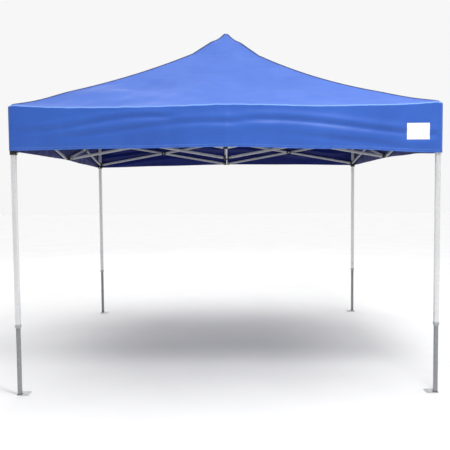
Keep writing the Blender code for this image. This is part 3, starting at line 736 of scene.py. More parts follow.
def build_cover():
    """All of the cover's points and faces, with each face's side, hand and zone."""
    grid_x, grid_y = np.meshgrid(LINES, LINES, indexing="ij")
    plan = np.stack([grid_x.ravel(), grid_y.ravel()], axis=1)
    points = [roof_surface(plan[:, 0], plan[:, 1])]
    last = COUNT - 1
    steps = np.arange(last)
    ring_lines = [
        (steps * COUNT, LINES[steps]),
        (last * COUNT + steps, LINES[steps]),
        ((last - steps) * COUNT + last, LINES[steps]),
        (last - steps, LINES[steps]),
    ]
    ring = np.concatenate([indices for indices, _ in ring_lines])
    ring_side = np.repeat(np.arange(4), last)
    ring_along = np.concatenate([along for _, along in ring_lines])
    length = valance_length(ring_side, ring_along)
    bends = np.linspace(0.0, 1.0, BEND_STEPS + 1)[1:]
    hangs = np.linspace(0.0, 1.0, VALANCE_STEPS + 1)[1:]
    downs = [share * BEND_LENGTH + 0.0 * length for share in bends]
    downs += [BEND_LENGTH + share * (length - BEND_LENGTH) for share in hangs]
    rows = [ring]
    for down in downs:
        rows.append(sum(len(part) for part in points) + np.arange(len(ring)))
        points.append(valance_surface(ring_side, ring_along, down))
    faces = roof_faces()
    centres = [plan[list(face)].mean(axis=0) for face in faces]
    labels = [roof_label(x, y) for x, y in centres]
    depths = np.concatenate([np.zeros(len(plan)), *downs])
    for above, below in zip(rows, rows[1:]):
        for index in range(len(ring)):
            after = (index + 1) % len(ring)
            faces.append((above[index], below[index], below[after], above[after]))
            middle = (LINES[index % last] + LINES[index % last + 1]) / 2
            labels.append((int(ring_side[index]), 1 if middle > 0 else -1, "legs"))
    return np.concatenate(points), plan, depths, faces, labels


def roof_label(x, y):
    """Side, hand and zone of a roof face."""
    if abs(x) > abs(y):
        side, along = (1, y) if x > 0 else (3, -y)
    else:
        side, along = (2, -x) if y > 0 else (0, x)
    if max(abs(x), abs(y)) > EAVE_BAND:
        zone = "legs"
    else:
        zone = "outer" if abs(along) > PANEL_CUT else "inner"
    return side, 1 if along > 0 else -1, zone


def surface_normals(points, faces):
    """Smooth normals of the whole cover, so that cuts between its pieces don't show."""
    normals = np.zeros_like(points)
    for count in (3, 4):
        chosen = np.array([face for face in faces if len(face) == count], int).reshape(-1, count)
        corner = points[chosen]
        area = np.cross(corner[:, 2] - corner[:, 0], corner[:, -1] - corner[:, 1])
        if count == 3:
            area = np.cross(corner[:, 1] - corner[:, 0], corner[:, 2] - corner[:, 0])
        for place in range(count):
            np.add.at(normals, chosen[:, place], area)
    return normals / np.linalg.norm(normals, axis=1, keepdims=True)


def cloth_mesh(name, faces, points, normals, uvs, thickness=CLOTH):
    """A closed thin mesh: faces outside, a copy of them inside, and rims between the two."""
    used, local = np.unique(np.concatenate([np.ravel(face) for face in faces]), return_inverse=True)
    count = len(used)
    local_faces, start = [], 0
    for face in faces:
        local_faces.append(tuple(int(index) for index in local[start:start + len(face)]))
        start += len(face)
    edges = {}
    for face in local_faces:
        for first, second in zip(face, face[1:] + face[:1]):
            edges[(first, second)] = True
    rims = [(b, a, a + count, b + count) for a, b in edges if (b, a) not in edges]
    inner = [tuple(index + count for index in reversed(face)) for face in local_faces]
    outer = points[used]
    mesh = bpy.data.meshes.new(name)
    vertices = np.concatenate([outer, outer - thickness * normals[used]])
    mesh.from_pydata(vertices.tolist(), [], local_faces + inner + rims)
    mesh.shade_smooth()
    mesh.normals_split_custom_set_from_vertices(np.concatenate([normals[used], -normals[used]]).tolist())
    # Inner faces take the second material, which for the cover is the navy painted shade.
    inside = np.zeros(len(mesh.polygons), np.int32)
    inside[len(local_faces):len(local_faces) * 2] = 1
    mesh.polygons.foreach_set("material_index", inside)
    layer = mesh.uv_layers.new(name="Cloth")
    corners = np.empty(len(mesh.loops), np.int32)
    mesh.loops.foreach_get("vertex_index", corners)
    both = np.concatenate([uvs[used], uvs[used]])
    layer.data.foreach_set("uv", both[corners].ravel())
    return mesh, surface_area(outer, local_faces)


def surface_area(points, faces):
    total = 0.0
    for face in faces:
        corner = points[list(face)]
        for second, third in zip(corner[1:], corner[2:]):
            total += np.linalg.norm(np.cross(second - corner[0], third - corner[0])) / 2
    return float(total)


def fold_with(item, side, hand, zone):
    """Hangs a piece of the cover on what carries it."""
    corner = corner_of(side, hand)
    if zone == "legs":
        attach(item, corner + "_leg")
        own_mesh(item)
    else:
        bar = "bracket" if zone == "outer" else "slider"
        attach(item, f"{SIDES[side]}_bar_{corner}_{bar}")
        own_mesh(item)
    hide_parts("canopy_cover")


ZONE_NAMES = {"legs": "valance", "outer": "roof_outer", "inner": "roof_inner"}
cover_pieces = {}


def add_cloth(name, mesh, materials):
    item = bpy.data.objects.new(name, mesh)
    bpy.context.scene.collection.objects.link(item)
    for material in materials:
        mesh.materials.append(material)
    return item


def make_cover():
    """Cuts the cover into its pieces. Each keeps the whole surface's normals."""
    points, plan, depths, faces, labels = build_cover()
    normals = surface_normals(points, faces)
    groups = {}
    for face, label in zip(faces, labels):
        groups.setdefault(label, []).append(face)
    beyond = np.arange(len(points)) >= len(plan)
    for (side, hand, zone), chosen in sorted(groups.items()):
        local = points @ np.array(quarter_turn(-side).to_3x3()).T
        run = local[:, 0]
        rise = np.where(beyond, -depths, (REACH + local[:, 1]) / math.cos(EAVE_SLOPE))
        uvs = np.stack([run, rise], axis=1)
        name = f"{ZONE_NAMES[zone]}_{SIDES[side]}_{corner_of(side, hand)}"
        mesh, area = cloth_mesh(name, chosen, points, normals, uvs)
        item = add_cloth(name, mesh, (CLOTH_OUT, CLOTH_IN_PAINTED_SHADE))
        used = np.unique(np.concatenate([np.ravel(face) for face in chosen]))
        flat = np.ptp(uvs[used], axis=0)
        cover_pieces[(side, hand, zone)] = (item, flat, area)


def tape_mesh(name, left, middle, right, lift, thickness, run):
    """A thin closed tape over three rows of points on the cloth, standing lift proud in its middle."""
    left, middle, right = (np.asarray(row, float) for row in (left, middle, right))
    forward = np.gradient(middle, axis=0)
    normal = np.cross(forward, left - right)
    normal = normal / np.linalg.norm(normal, axis=1, keepdims=True)
    rows = [
        left - 0.0002 * normal,
        left + thickness * normal,
        middle + (thickness + lift) * normal,
        right + thickness * normal,
        right - 0.0002 * normal,
        middle - 0.0002 * normal,
    ]
    count = len(middle)
    vertices = np.concatenate(rows)
    faces, uvs = [], []
    across = (0.0, 0.02, 0.5, 0.98, 1.0, 0.5)
    for band in range(6):
        after = (band + 1) % 6
        ends = (across[band], across[after]) if band != 5 else (0.5, 0.0)
        for step in range(count - 1):
            near, far = band * count + step, after * count + step
            faces.append((near, near + 1, far + 1, far))
            here, there = run[step], run[step + 1]
            uvs += [(here, ends[0]), (there, ends[0]), (there, ends[1]), (here, ends[1])]
    for step in (0, count - 1):
        cap = tuple(band * count + step for band in range(6))
        faces.append(cap if step else cap[::-1])
        uvs += [(run[step], across[band]) for band in (range(6) if step else reversed(range(6)))]
    mesh = bpy.data.meshes.new(name)
    mesh.from_pydata(vertices.tolist(), [], faces)
    layer = mesh.uv_layers.new(name="Tape")
    layer.data.foreach_set("uv", np.array(uvs).ravel())
    mesh.shade_smooth()
    mesh.set_sharp_from_angle(angle=SMOOTH_ANGLE)
    return mesh


def run_length(points):
    steps = np.linalg.norm(np.diff(points, axis=0), axis=1)
    return np.concatenate([[0.0], np.cumsum(steps)])


def add_tape(name, rows, label, material, lift=0.0004, thickness=0.0006):
    left, middle, right = rows
    mesh = tape_mesh(name, left, middle, right, lift, thickness, run_length(middle))
    item = add_cloth(name, mesh, (material,))
    cover_pieces[label] = (*cover_pieces[label], item)


def hip_rows(side, start, end, width):
    """A tape over the hip at the +X end of a side, from reach start to reach end."""
    reach = np.linspace(start, end, max(3, int(abs(end - start) / 0.010)))
    rows = []
    for offset in (-width / 2, 0.0, width / 2):
        along = reach - max(offset, 0.0) * math.sqrt(2)
        out = reach + min(offset, 0.0) * math.sqrt(2)
        x, y = to_plan(side, along, out)
        rows.append(roof_surface(x, y))
    return rows


def valance_rows(side, start, end, down, width, from_hem=False):
    """A tape along a side's valance. down is its middle, measured from the eave or from the hem."""
    along = np.linspace(start, end, int(abs(end - start) / 0.008))
    rows = []
    for offset in (-width / 2, 0.0, width / 2):
        level = valance_length(side, along) - down if from_hem else down + 0.0 * along
        rows.append(valance_surface(side, along, level + offset))
    return rows


HIP_TAPE_WIDTH = 0.015
HIP_TAPE_GAP = 0.012  # from the tape's ends to the tip and to the roof's edge
HEM_WIDTH = 0.022
EAVE_SEAM_DOWN = BEND_LENGTH * 0.45
SEAM_WIDTH = 0.0095
PATCH_TAPE_WIDTH = 0.014
CORNER_TAPE_WIDTH = 0.016


def add_hip_tapes(side):
    name = CORNERS[(side + 1) % 4]
    stops = (HIP_TAPE_GAP, PANEL_CUT, EAVE_BAND, ROOF_EDGE - HIP_TAPE_GAP)
    for zone, start, end in zip(("inner", "outer", "legs"), stops, stops[1:]):
        rows = hip_rows(side, start, end, HIP_TAPE_WIDTH)
        add_tape(f"hip_tape_{zone}_{name}", rows, (side, 1, zone), PIPING, lift=0.0034)


def patch_rows(side, start, end):
    """The edge of the peak's patch over half a side."""
    edge = np.linspace(start, end, max(4, int((end - start) / 0.010)))
    along = np.clip(edge, -PATCH_REACH, PATCH_REACH)[np.abs(edge) <= PATCH_REACH + 0.005]
    rows = []
    for offset in (-PATCH_TAPE_WIDTH / 2, 0.0, PATCH_TAPE_WIDTH / 2):
        reach = PATCH_REACH - offset
        x, y = to_plan(side, along * reach / PATCH_REACH, reach)
        rows.append(roof_surface(x, y))
    return rows[::-1]


def corner_rows(side):
    """A tape down the valance's corner at the +X end of a side, half on this side and half on the next."""
    bottom = valance_length(side, np.array(ROOF_EDGE)) - HEM_WIDTH
    down = np.linspace(BEND_LENGTH * 0.5, float(bottom), 32)
    rows = []
    for offset in (-CORNER_TAPE_WIDTH / 2, 0.0, CORNER_TAPE_WIDTH / 2):
        along = ROOF_EDGE - abs(offset) + 0.0 * down
        if offset <= 0:
            rows.append(valance_surface(side, along, down))
        else:
            rows.append(valance_surface((side + 1) % 4, -along, down))
    return rows[::-1]


def make_tapes():
    """Hip tapes, a pale eave tape that paints the highlight on the bend, hem, the valance's corner seams
    and the edge of the patch at the peak.
    """
    for side in range(4):
        add_hip_tapes(side)
        for hand in (-1, 1):
            label = (side, hand, "legs")
            half = f"{SIDES[side]}_{corner_of(side, hand)}"
            start, end = sorted((0.0, hand * (ROOF_EDGE - 0.003)))
            # The pale tape laid in the bend paints the eave's highlight.
            rows = valance_rows(side, start, end, EAVE_SEAM_DOWN, SEAM_WIDTH)
            add_tape("eave_highlight_tape_" + half, rows, label, EAVE_HIGHLIGHT_TAPE, lift=0.0009, thickness=0.0004)
            rows = valance_rows(side, start, end, HEM_WIDTH / 2, HEM_WIDTH, from_hem=True)
            add_tape("hem_" + half, rows, label, TAPE, lift=0.0003, thickness=0.0009)
            rows = patch_rows(side, start, end)
            inner = (side, hand, "inner")
            add_tape("peak_patch_seam_" + half, rows, inner, TAPE, lift=0.0003, thickness=0.0005)
        name = f"valance_corner_seam_{CORNERS[(side + 1) % 4]}"
        add_tape(name, corner_rows(side), (side, 1, "legs"), TAPE, lift=0.0006)


PATCH_SIZE, PATCH_THICKNESS = (0.155, 0.112), 0.0008
PATCH_GRID = (16, 12)


def make_blank_patch():
    """A plain white patch sewn on the front valance near its right end."""
    (middle, height), (width, depth), (columns, rows) = PATCH_MIDDLE, PATCH_SIZE, PATCH_GRID
    side = 0
    along = np.linspace(middle - width / 2, middle + width / 2, columns + 1)
    x, y = to_plan(side, along, ROOF_EDGE)
    eave = roof_height(x, y) - EAVE_RADIUS * math.cos(EAVE_SLOPE)
    levels = np.linspace(height + depth / 2, height - depth / 2, rows + 1)
    points = np.concatenate([valance_surface(side, along, BEND_LENGTH + eave - level) for level in levels])
    corners = [row * (columns + 1) + column for row in range(rows) for column in range(columns)]
    faces = [(a, a + columns + 1, a + columns + 2, a + 1) for a in corners]
    normals = surface_normals(points, faces)
    uvs = np.stack([np.tile(along, rows + 1), np.repeat(levels, columns + 1)], axis=1)
    outside = points + normals * PATCH_THICKNESS
    mesh, _ = cloth_mesh("blank_patch", faces, outside, normals, uvs, PATCH_THICKNESS)
    item = add_cloth("blank_patch", mesh, (BLANK_PATCH, BLANK_PATCH))
    fold_with(item, side, 1, "legs")


def hang_cover():
    """Every piece of cloth rides on the body that its label names."""
    for (side, hand, zone), (item, flat, area, *tapes) in cover_pieces.items():
        for part in (item, *tapes):
            fold_with(part, side, hand, zone)


make_cover()
make_tapes()
hang_cover()
make_blank_patch()

# The frame's pieces ----------------------------------------------------------------------

WALL = 0.0008
TUBE_ROUNDING = 0.0030
LOWER_WIDTH = 0.026
BAR_DEPTH, BAR_THICKNESS, BAR_END = 0.024, 0.012, 0.012
BAR_PLANE = 0.00665  # middle plane of a truss to each plane of bars
BAR_ROUNDING = 0.0035
TONGUE = 0.005  # thickness, on the far side of the middle plane from the bar
TONGUE_HALF_HEIGHT = 0.012
TONGUE_END = 0.011
RIB_HALF = 0.0012  # half the thickness of a casting's stiffening rib
SLEEVE_HALF = 0.0205
SADDLE_LENGTH, SADDLE_HEIGHT, SADDLE_THICKNESS = 0.050, 0.0310, 0.0016
RIVET_RADIUS, RIVET_HEAD, WASHER, WASHER_THICKNESS = 0.0037, 0.0062, 0.0085, 0.0008
TOP_BRACKET = (-0.035, 0.038)  # bottom and top of the corner bracket from its pivots
LEG_TOP_IN_BRACKET = UPPER_TOP - TOP_Z
SLIDER_SPAN = (-0.045, 0.020)
PULL_PIN_DROP = 0.032
SNAP_Z, HEIGHT_HOLES_Z = 0.560, (0.410, 0.260)
FOOT_OUTER, FOOT_INNER, FOOT_THICKNESS = 0.020, 0.065, 0.004
HUB_HALF, HUB_HALF_HEIGHT = 0.018, 0.020
POLE_RADIUS, POLE_TOP = 0.0125, 2.828


def rod(axis, centre, profile, sides=24):
    """A turned solid along an axis from (radius, distance) points. centre is its place on the other two."""
    place = {"X": (0.0, *centre), "Y": (centre[0], 0.0, centre[1]), "Z": (*centre, 0.0)}[axis]
    return moved(turned("rod", profile, sides), Matrix.Translation(place) @ along_axis(axis))


def rivet(axis, centre, side, back, front):
    """A rivet with a washer and a domed head at each end. side is the way to its front across the truss."""
    profile = []
    for face, outwards in ((-back, -1), (front, 1)):
        rim = face + outwards * WASHER_THICKNESS
        eased = face + outwards * 0.0003
        end = [(RIVET_RADIUS, face), (WASHER - 0.0003, face), (WASHER, eased), (WASHER, rim)]
        end += dome(RIVET_HEAD, 0.0021, rim, outwards)
        profile += end if outwards > 0 else end[::-1]
    return rod(axis, centre, [(radius, side * distance) for radius, distance in profile])


def pivot_rivet(axis, centre, side):
    """A rivet through a tongue and the bar beside it."""
    return rivet(axis, centre, side, TONGUE, BAR_PLANE + BAR_THICKNESS / 2)


def rounded_end(start, end, half_height, corner, steps=5):
    """Outline of a tongue: square at start, rounded at end."""
    points = [(start, -half_height), (end - corner, -half_height)]
    for turn in range(2):
        centre = (end - corner, (half_height - corner) * (1 if turn else -1))
        for step in range(1, steps + 1):
            angle = (turn - 1 + step / steps) * math.pi / 2
            points.append((centre[0] + corner * math.cos(angle), centre[1] + corner * math.sin(angle)))
    points += [(start, half_height)]
    return points


def tongue_parts(along, start, pivot, side):
    """A rounded tongue and two ribs, on the far side of the middle plane."""
    low, high = sorted((0.0, -side * TONGUE))
    outline = rounded_end(start, pivot + TONGUE_END, TONGUE_HALF_HEIGHT, 0.0095)
    across = "X" if along == "Y" else "Y"
    parts = [plate(outline, low, high, 0.0007, axis=across)]
    far = -side * (TONGUE + 0.0030)
    rib_low, rib_high = sorted((-side * (TONGUE - 0.001), far))
    for level in (-0.0085, 0.0085):
        low_spot, high_spot = (start, rib_low), (pivot - 0.010, rib_high)
        if along == "Y":
            low_spot, high_spot = low_spot[::-1], high_spot[::-1]
        rib = (*low_spot, level - RIB_HALF), (*high_spot, level + RIB_HALF)
        parts.append(rounded_block(*rib, 0.0005, 2))
    return parts


def sleeve_levels(bottom, top, lip):
    """(z, inset) levels of a square sleeve with a lip at each end."""
    return (
        (bottom, lip * 0.4),
        (bottom + 0.0008, -lip),
        (bottom + 0.0050, -lip),
        (bottom + 0.0066, 0.0),
        (top - 0.0066, 0.0),
        (top - 0.0050, -lip),
        (top - 0.0010, -lip),
        (top, lip * 0.6),
    )


def square_cut(half, bottom, top):
    return rounded_block((-half, -half, bottom), (half, half, top), 0.0006, 1)


def corner_casting(side, bottom, top, cut_top, cuts=()):
    """A sleeve with two tongues, drawn with its pivots at Z = 0."""
    bore = UPPER_WIDTH / 2 + 0.0004
    sleeve = plug("sleeve", 2 * SLEEVE_HALF, 2 * SLEEVE_HALF, 0.004, sleeve_levels(bottom, top, 0.0009))
    start = SLEEVE_HALF - 0.002
    tongues = tongue_parts("X", start, LEG_TO_PIVOT, side) + tongue_parts("Y", start, LEG_TO_PIVOT, side)
    return carve("casting", [sleeve, *tongues], [square_cut(bore, bottom - 0.003, cut_top), *cuts])


def corner_rivets(side):
    spots = [pivot_rivet(axis, (LEG_TO_PIVOT, 0.0), side) for axis in ("X", "Y")]
    return together("rivets", spots)


def sleeve_screws(z):
    """Two screws through the bracket's outer faces into the leg."""
    head = [(0.0004, 0.0), (0.0034, 0.0)]
    head += [(radius, 0.0003 + height) for radius, height in dome(0.0034, 0.0015, 0.0)]
    screws = []
    for axis in ("X", "Y"):
        profile = [(radius, -SLEEVE_HALF - height) for radius, height in head]
        screws.append(rod(axis, (0.0, z), profile, 16))
    return together("screws", screws)


def connector_casting(side):
    """A plate along the side, a tongue for the inner truss, and a core between the two."""
    low, high = sorted((0.0, -side * TONGUE))
    reach = CONNECTOR_TO_PIVOT + BAR_END
    right = rounded_end(0.0, reach, 0.015, 0.011)
    outline = right[:-1] + [(-u, v) for u, v in right[::-1][:-1]]
    outline = [point for point in outline if abs(point[0]) > 1e-6]
    face = plate(outline, low, high, 0.0008)
    parts = [face, *tongue_parts("Y", low + 0.002, CONNECTOR_TO_INNER, side)]
    parts.append(rounded_block((-0.0055, -0.0115, -0.0135), (0.0055, 0.0100, 0.0135), 0.0015))
    far = -side * (TONGUE + 0.0028)
    rib_low, rib_high = sorted((-side * (TONGUE - 0.001), far))
    for level in (-0.0115, 0.0115):
        rib = (-0.030, rib_low, level - RIB_HALF), (0.030, rib_high, level + RIB_HALF)
        parts.append(rounded_block(*rib, 0.0005, 2))
    return carve("connector", parts)


def connector_rivets(side):
    spots = [pivot_rivet("Y", (hand * CONNECTOR_TO_PIVOT, 0.0), side) for hand in (-1, 1)]
    spots.append(pivot_rivet("X", (CONNECTOR_TO_INNER, 0.0), side))
    return together("rivets", spots)


def hub_casting(side, is_upper):
    """A square core with a collar round the pole and four tongues."""
    levels = (
        (-HUB_HALF_HEIGHT, 0.0022),
        (-HUB_HALF_HEIGHT + 0.0022, 0.0),
        (HUB_HALF_HEIGHT - 0.0022, 0.0),
        (HUB_HALF_HEIGHT, 0.0022),
    )
    parts = [plug("core", 2 * HUB_HALF, 2 * HUB_HALF, 0.004, levels)]
    collar_end = 0.0255 if is_upper else -0.0255
    start = 0.8 * (HUB_HALF_HEIGHT if is_upper else -HUB_HALF_HEIGHT)
    eased = collar_end - math.copysign(0.001, collar_end)
    parts.append(rod("Z", (0.0, 0.0), [(0.0168, start), (0.0168, eased), (0.0158, collar_end)], 32))
    for quarter in range(4):
        turn = Matrix.Rotation(quarter * math.pi / 2, 4, "Z")
        half_turn = Matrix.Rotation(math.pi, 4, "Z")
        for part in tongue_parts("Y", HUB_HALF - 0.002, HUB_TO_PIVOT, -side):
            parts.append(moved(part, turn @ half_turn))
    bore = POLE_RADIUS + 0.0005
    bottom = -0.03 if is_upper else -0.0153
    cut = rod("Z", (0.0, 0.0), [(bore, bottom), (bore, 0.030)], 32)
    return carve("hub", parts, [cut])


def hub_rivets(side):
    spots = []
    for quarter in range(4):
        turn = Matrix.Rotation(quarter * math.pi / 2, 4, "Z")
        spots.append(moved(pivot_rivet("X", (-HUB_TO_PIVOT, 0.0), side), turn))
    return together("rivets", spots)


def pierced_tube(width, start, end, holes):
    """A square leg tube with (axis, z, radius) holes, each through the face on its axis's + side."""
    cuts = [rod(axis, (0.0, z), [(radius, 0.0), (radius, width)]) for axis, z, radius in holes]
    return carve("leg_tube", [tube("leg_tube", width, width, WALL, TUBE_ROUNDING, start, end)], cuts)


def collar_mesh():
    """The upper leg's bottom end cap, with a square hole for the lower leg."""
    levels = ((0.4765, 0.0010), (0.4775, 0.0), (0.4985, 0.0), (0.5000, 0.0013))
    outer = plug("collar", 0.0358, 0.0358, 0.0042, levels)
    lower_cut = square_cut(LOWER_WIDTH / 2 + 0.0004, 0.470, 0.490)
    upper_cut = square_cut(UPPER_WIDTH / 2 + 0.0001, UPPER_BOTTOM - 0.0001, 0.510)
    return carve("collar", [outer], [lower_cut, upper_cut])


def foot_outline(steps=4):
    """A square plate, further in than out, with rounded corners."""
    radius = 0.010
    middle = (FOOT_INNER - FOOT_OUTER) / 2
    size = FOOT_INNER + FOOT_OUTER
    return [(x + middle, y + middle) for x, y in rounded_outline(size, size, radius, steps)]


def foot_mesh():
    flat = Matrix.Rotation(-math.pi / 2, 4, "X")
    base = moved(plate(foot_outline(), -FOOT_THICKNESS, 0.0, 0.0006), flat)
    holes = [((0.046, 0.046), 0.0065), ((0.050, 0.0), 0.004), ((0.0, 0.050), 0.004)]
    cuts = [rod("Z", spot, [(radius, -0.01), (radius, 0.01)]) for spot, radius in holes]
    return carve("foot_plate", [base], cuts)


WELD_LEVELS = ((0.0035, 0.0042), (0.0050, 0.0040), (0.0066, 0.0026), (0.0078, 0.0004))  # height and reach
WELD_POINTS = 96


def weld_mesh():
    """A bead round the lower leg where it meets its plate, uneven as a real one is."""
    rows = []
    for row, (height, stand) in enumerate(WELD_LEVELS):
        half = LOWER_WIDTH / 2 + stand
        ring = []
        for index in range(WELD_POINTS):
            angle = 2 * math.pi * index / WELD_POINTS
            reach = half / max(abs(math.cos(angle)), abs(math.sin(angle)))
            reach = min(reach, half * 1.30)
            ripple = 0.00035 * math.sin(index * 1.9 + row) if 0 < row < 3 else 0.0
            ring.append(((reach + ripple) * math.cos(angle), (reach + ripple) * math.sin(angle), height))
        rows.append(ring)
    return loft("weld", rows)


def bar_plugs():
    """End plugs of a bar, drawn along X from its first pivot."""
    levels = ((0.0, 0.0), (0.0012, 0.0), (0.0020, 0.0008))
    cap = plug("cap", BAR_DEPTH, BAR_THICKNESS, BAR_ROUNDING, levels)
    far = moved(cap, Matrix.Translation((BAR_LENGTH + BAR_END, 0.0, 0.0)) @ along_axis("X"))
    near = moved(cap, Matrix.Translation((-BAR_END, 0.0, 0.0)) @ Matrix.Rotation(-math.pi / 2, 4, "Y"))
    return together("bar_plugs", [near, far])


def saddle_mesh():
    """Nylon saddle clipped over a bar where two bars cross, facing -Y, with a boss under the rivet."""
    face = -BAR_THICKNESS / 2
    outline = rounded_outline(SADDLE_LENGTH, SADDLE_HEIGHT, 0.006, 5)
    parts = [plate(outline, face - SADDLE_THICKNESS, face - 0.0001, 0.0005)]
    for hand in (-1, 1):
        edge = hand * SADDLE_HEIGHT / 2
        low, high = sorted((edge, edge - hand * (SADDLE_HEIGHT - BAR_DEPTH - 0.0004) / 2))
        parts.append(rounded_block((-0.016, face - 0.0010, low), (0.016, 0.0035, high), 0.0005, 2))
    washer = rod("Y", (0.0, 0.0), [(0.010, -face + 0.0001), (0.010, BAR_PLANE - 0.0001)])
    return together("saddle", [carve("saddle", parts), washer])


def bar_frame(index, start, end, along, plane):
    """Axes of a bar between two (distance, z) points of the truss along X or Y of a side's axes."""
    run, rise = end[0] - start[0], end[1] - start[1]
    if along == "X":
        place, direction = Vector((start[0], plane, start[1])), Vector((run, 0.0, rise)).normalized()
        normal = Vector((0.0, 1.0, 0.0))
    else:
        place, direction = Vector((plane, start[0], start[1])), Vector((0.0, run, rise)).normalized()
        normal = Vector((1.0, 0.0, 0.0))
    axes = Matrix((direction, normal, direction.cross(normal))).transposed().to_4x4()
    return side_frame(index) @ Matrix.Translation(place) @ axes


def knob_mesh():
    """Pull pin along +X: a shank, a grooved knob and a domed end."""
    face = SLEEVE_HALF + 0.0003
    profile = [
        (0.0028, UPPER_WIDTH / 2 + 0.0003),
        (0.0028, face),
        (0.0064, face),
        (0.0070, face + 0.0006),
        (0.0070, face + 0.0030),
        (0.0050, face + 0.0040),
        (0.0050, face + 0.0056),
        (0.0078, face + 0.0066),
    ]
    profile += dome(0.0080, 0.0042, face + 0.0088, 1, 5)
    return rod("X", (0.0, 0.0), profile, 32)


def snap_button_mesh():
    """Spring button along +Y with a domed end and its flange inside the leg."""
    profile = [(0.0058, 0.009), (0.0058, 0.0117), (0.0040, 0.0117), (0.0040, 0.0132)]
    profile += dome(0.0040, 0.0017, 0.0132, 1, 4)
    return rod("Y", (0.0, 0.0), profile)


def pole_mesh():
    """The pole's round tube, up to its cap."""
    foot = LOW_Z - 0.015
    profile = [(POLE_RADIUS - WALL, foot), (POLE_RADIUS, foot), (POLE_RADIUS, POLE_TOP - 0.012)]
    profile += [(POLE_RADIUS - 0.0006, POLE_TOP - 0.0114)]
    return rod("Z", (0.0, 0.0), profile, 32)


def pole_cap_mesh():
    base = POLE_TOP - 0.0116
    rim = POLE_RADIUS + 0.0004
    profile = [(POLE_RADIUS - 0.001, base), (rim, base), (rim, base + 0.003)]
    profile += dome(POLE_RADIUS, 0.0085, base + 0.003, 1, 6)
    return rod("Z", (0.0, 0.0), profile, 32)


def build_corners():
    lock_z = LOW_Z - PULL_PIN_DROP
    upper_holes = [("X", lock_z, 0.0035), ("Y", SNAP_Z, 0.005)]
    upper = pierced_tube(UPPER_WIDTH, UPPER_BOTTOM, UPPER_TOP, upper_holes)
    lower_holes = [("Y", z, 0.00435) for z in (SNAP_Z, *HEIGHT_HOLES_Z)]
    lower = pierced_tube(LOWER_WIDTH, FOOT_THICKNESS - 0.0005, 0.880, lower_holes)
    pin_hole = rod("X", (0.0, -PULL_PIN_DROP), [(0.0035, 0.0), (0.0035, 0.03)])
    bracket = corner_casting(-1, *TOP_BRACKET, LEG_TOP_IN_BRACKET + 0.0005)
    slider = corner_casting(1, *SLIDER_SPAN, SLIDER_SPAN[1] + 0.003, [pin_hole])
    bracket_rivets, slider_rivets = corner_rivets(-1), corner_rivets(1)
    screws, collar, foot, weld = sleeve_screws(-0.012), collar_mesh(), foot_mesh(), weld_mesh()
    knob, button = knob_mesh(), snap_button_mesh()
    for index, corner in enumerate(CORNERS):
        leg, ground = corner + "_leg", corner_frame(index)
        top, low = corner_frame(index, TOP_Z), corner_frame(index, LOW_Z)
        pull, snap = corner_frame(index, lock_z), corner_frame(index, SNAP_Z)
        telescope, slide = "lower_leg_" + corner, "slider_" + corner
        piece("upper_tube_" + corner, upper, ground, leg, LEG_PAINT, ["upper_leg_" + corner])
        piece("leg_collar_" + corner, collar, ground, leg, COLLAR_PAINT)
        castings = ["corner_bracket_" + corner]
        piece("bracket_casting_" + corner, bracket, top, leg, NYLON, castings)
        piece("bracket_rivets_" + corner, bracket_rivets, top, leg, ZINC)
        piece("bracket_screws_" + corner, screws, top, leg, ZINC)
        piece("lower_tube_" + corner, lower, ground, telescope, LOWER_PAINT, [telescope])
        piece("foot_plate_" + corner, foot, ground, telescope, FOOT_PAINT)
        # Dark weld paint, partly a painted contact shadow at the leg's foot.
        piece("foot_weld_" + corner, weld, ground, telescope, WELD_SHADOW_PAINT)
        piece("slider_casting_" + corner, slider, low, slide, NYLON, [slide])
        piece("slider_rivets_" + corner, slider_rivets, low, slide, ZINC)
        pin = "slider_pull_pin_" + corner
        piece("pull_knob_" + corner, knob, pull, pin, ZINC, [pin])
        pin = "leg_snap_button_" + corner
        piece("snap_button_" + corner, button, snap, pin, ZINC, [pin])


def build_trusses():
    bar_tube = moved(
        tube("bar_tube", BAR_DEPTH, BAR_THICKNESS, WALL, BAR_ROUNDING, -BAR_END, BAR_LENGTH + BAR_END),
        along_axis("X"),
    )
    plugs, saddle = bar_plugs(), saddle_mesh()
    near_face = BAR_THICKNESS / 2 + SADDLE_THICKNESS
    scissor_rivet = rivet("Y", (0.0, 0.0), 1, near_face, 2 * BAR_PLANE + near_face)
    middle = Matrix.Translation((BAR_LENGTH / 2, 0.0, 0.0))

    def add_bar(name, place, plane):
        piece(name + "_tube", bar_tube, place, name, BAR_PAINT, [name])
        piece(name + "_plugs", plugs, place, name, NYLON)
        facing = Matrix.Rotation(0.0 if plane < 0 else math.pi, 4, "X")
        piece(name + "_saddle", saddle, place @ middle @ facing, name, NYLON)
        if plane < 0:
            piece(name + "_rivet", scissor_rivet, place @ middle, name, ZINC)

    far, centre = HALF - LEG_TO_PIVOT, HALF - HUB_TO_PIVOT
    for index, side in enumerate(SIDES):
        for hand in (-1, 1):
            name = f"{side}_bar_{corner_of(index, hand)}"
            end = hand * CONNECTOR_TO_PIVOT
            place = bar_frame(index, (hand * far, TOP_Z), (end, LOW_Z), "X", -BAR_PLANE)
            add_bar(name + "_bracket", place, -BAR_PLANE)
            place = bar_frame(index, (hand * far, LOW_Z), (end, TOP_Z), "X", BAR_PLANE)
            add_bar(name + "_slider", place, BAR_PLANE)
        name = "inner_bar_" + side
        place = bar_frame(index, (CONNECTOR_TO_INNER, LOW_Z), (centre, TOP_Z), "Y", -BAR_PLANE)
        add_bar(name + "_lower", place, -BAR_PLANE)
        place = bar_frame(index, (CONNECTOR_TO_INNER, TOP_Z), (centre, LOW_Z), "Y", BAR_PLANE)
        add_bar(name + "_upper", place, BAR_PLANE)


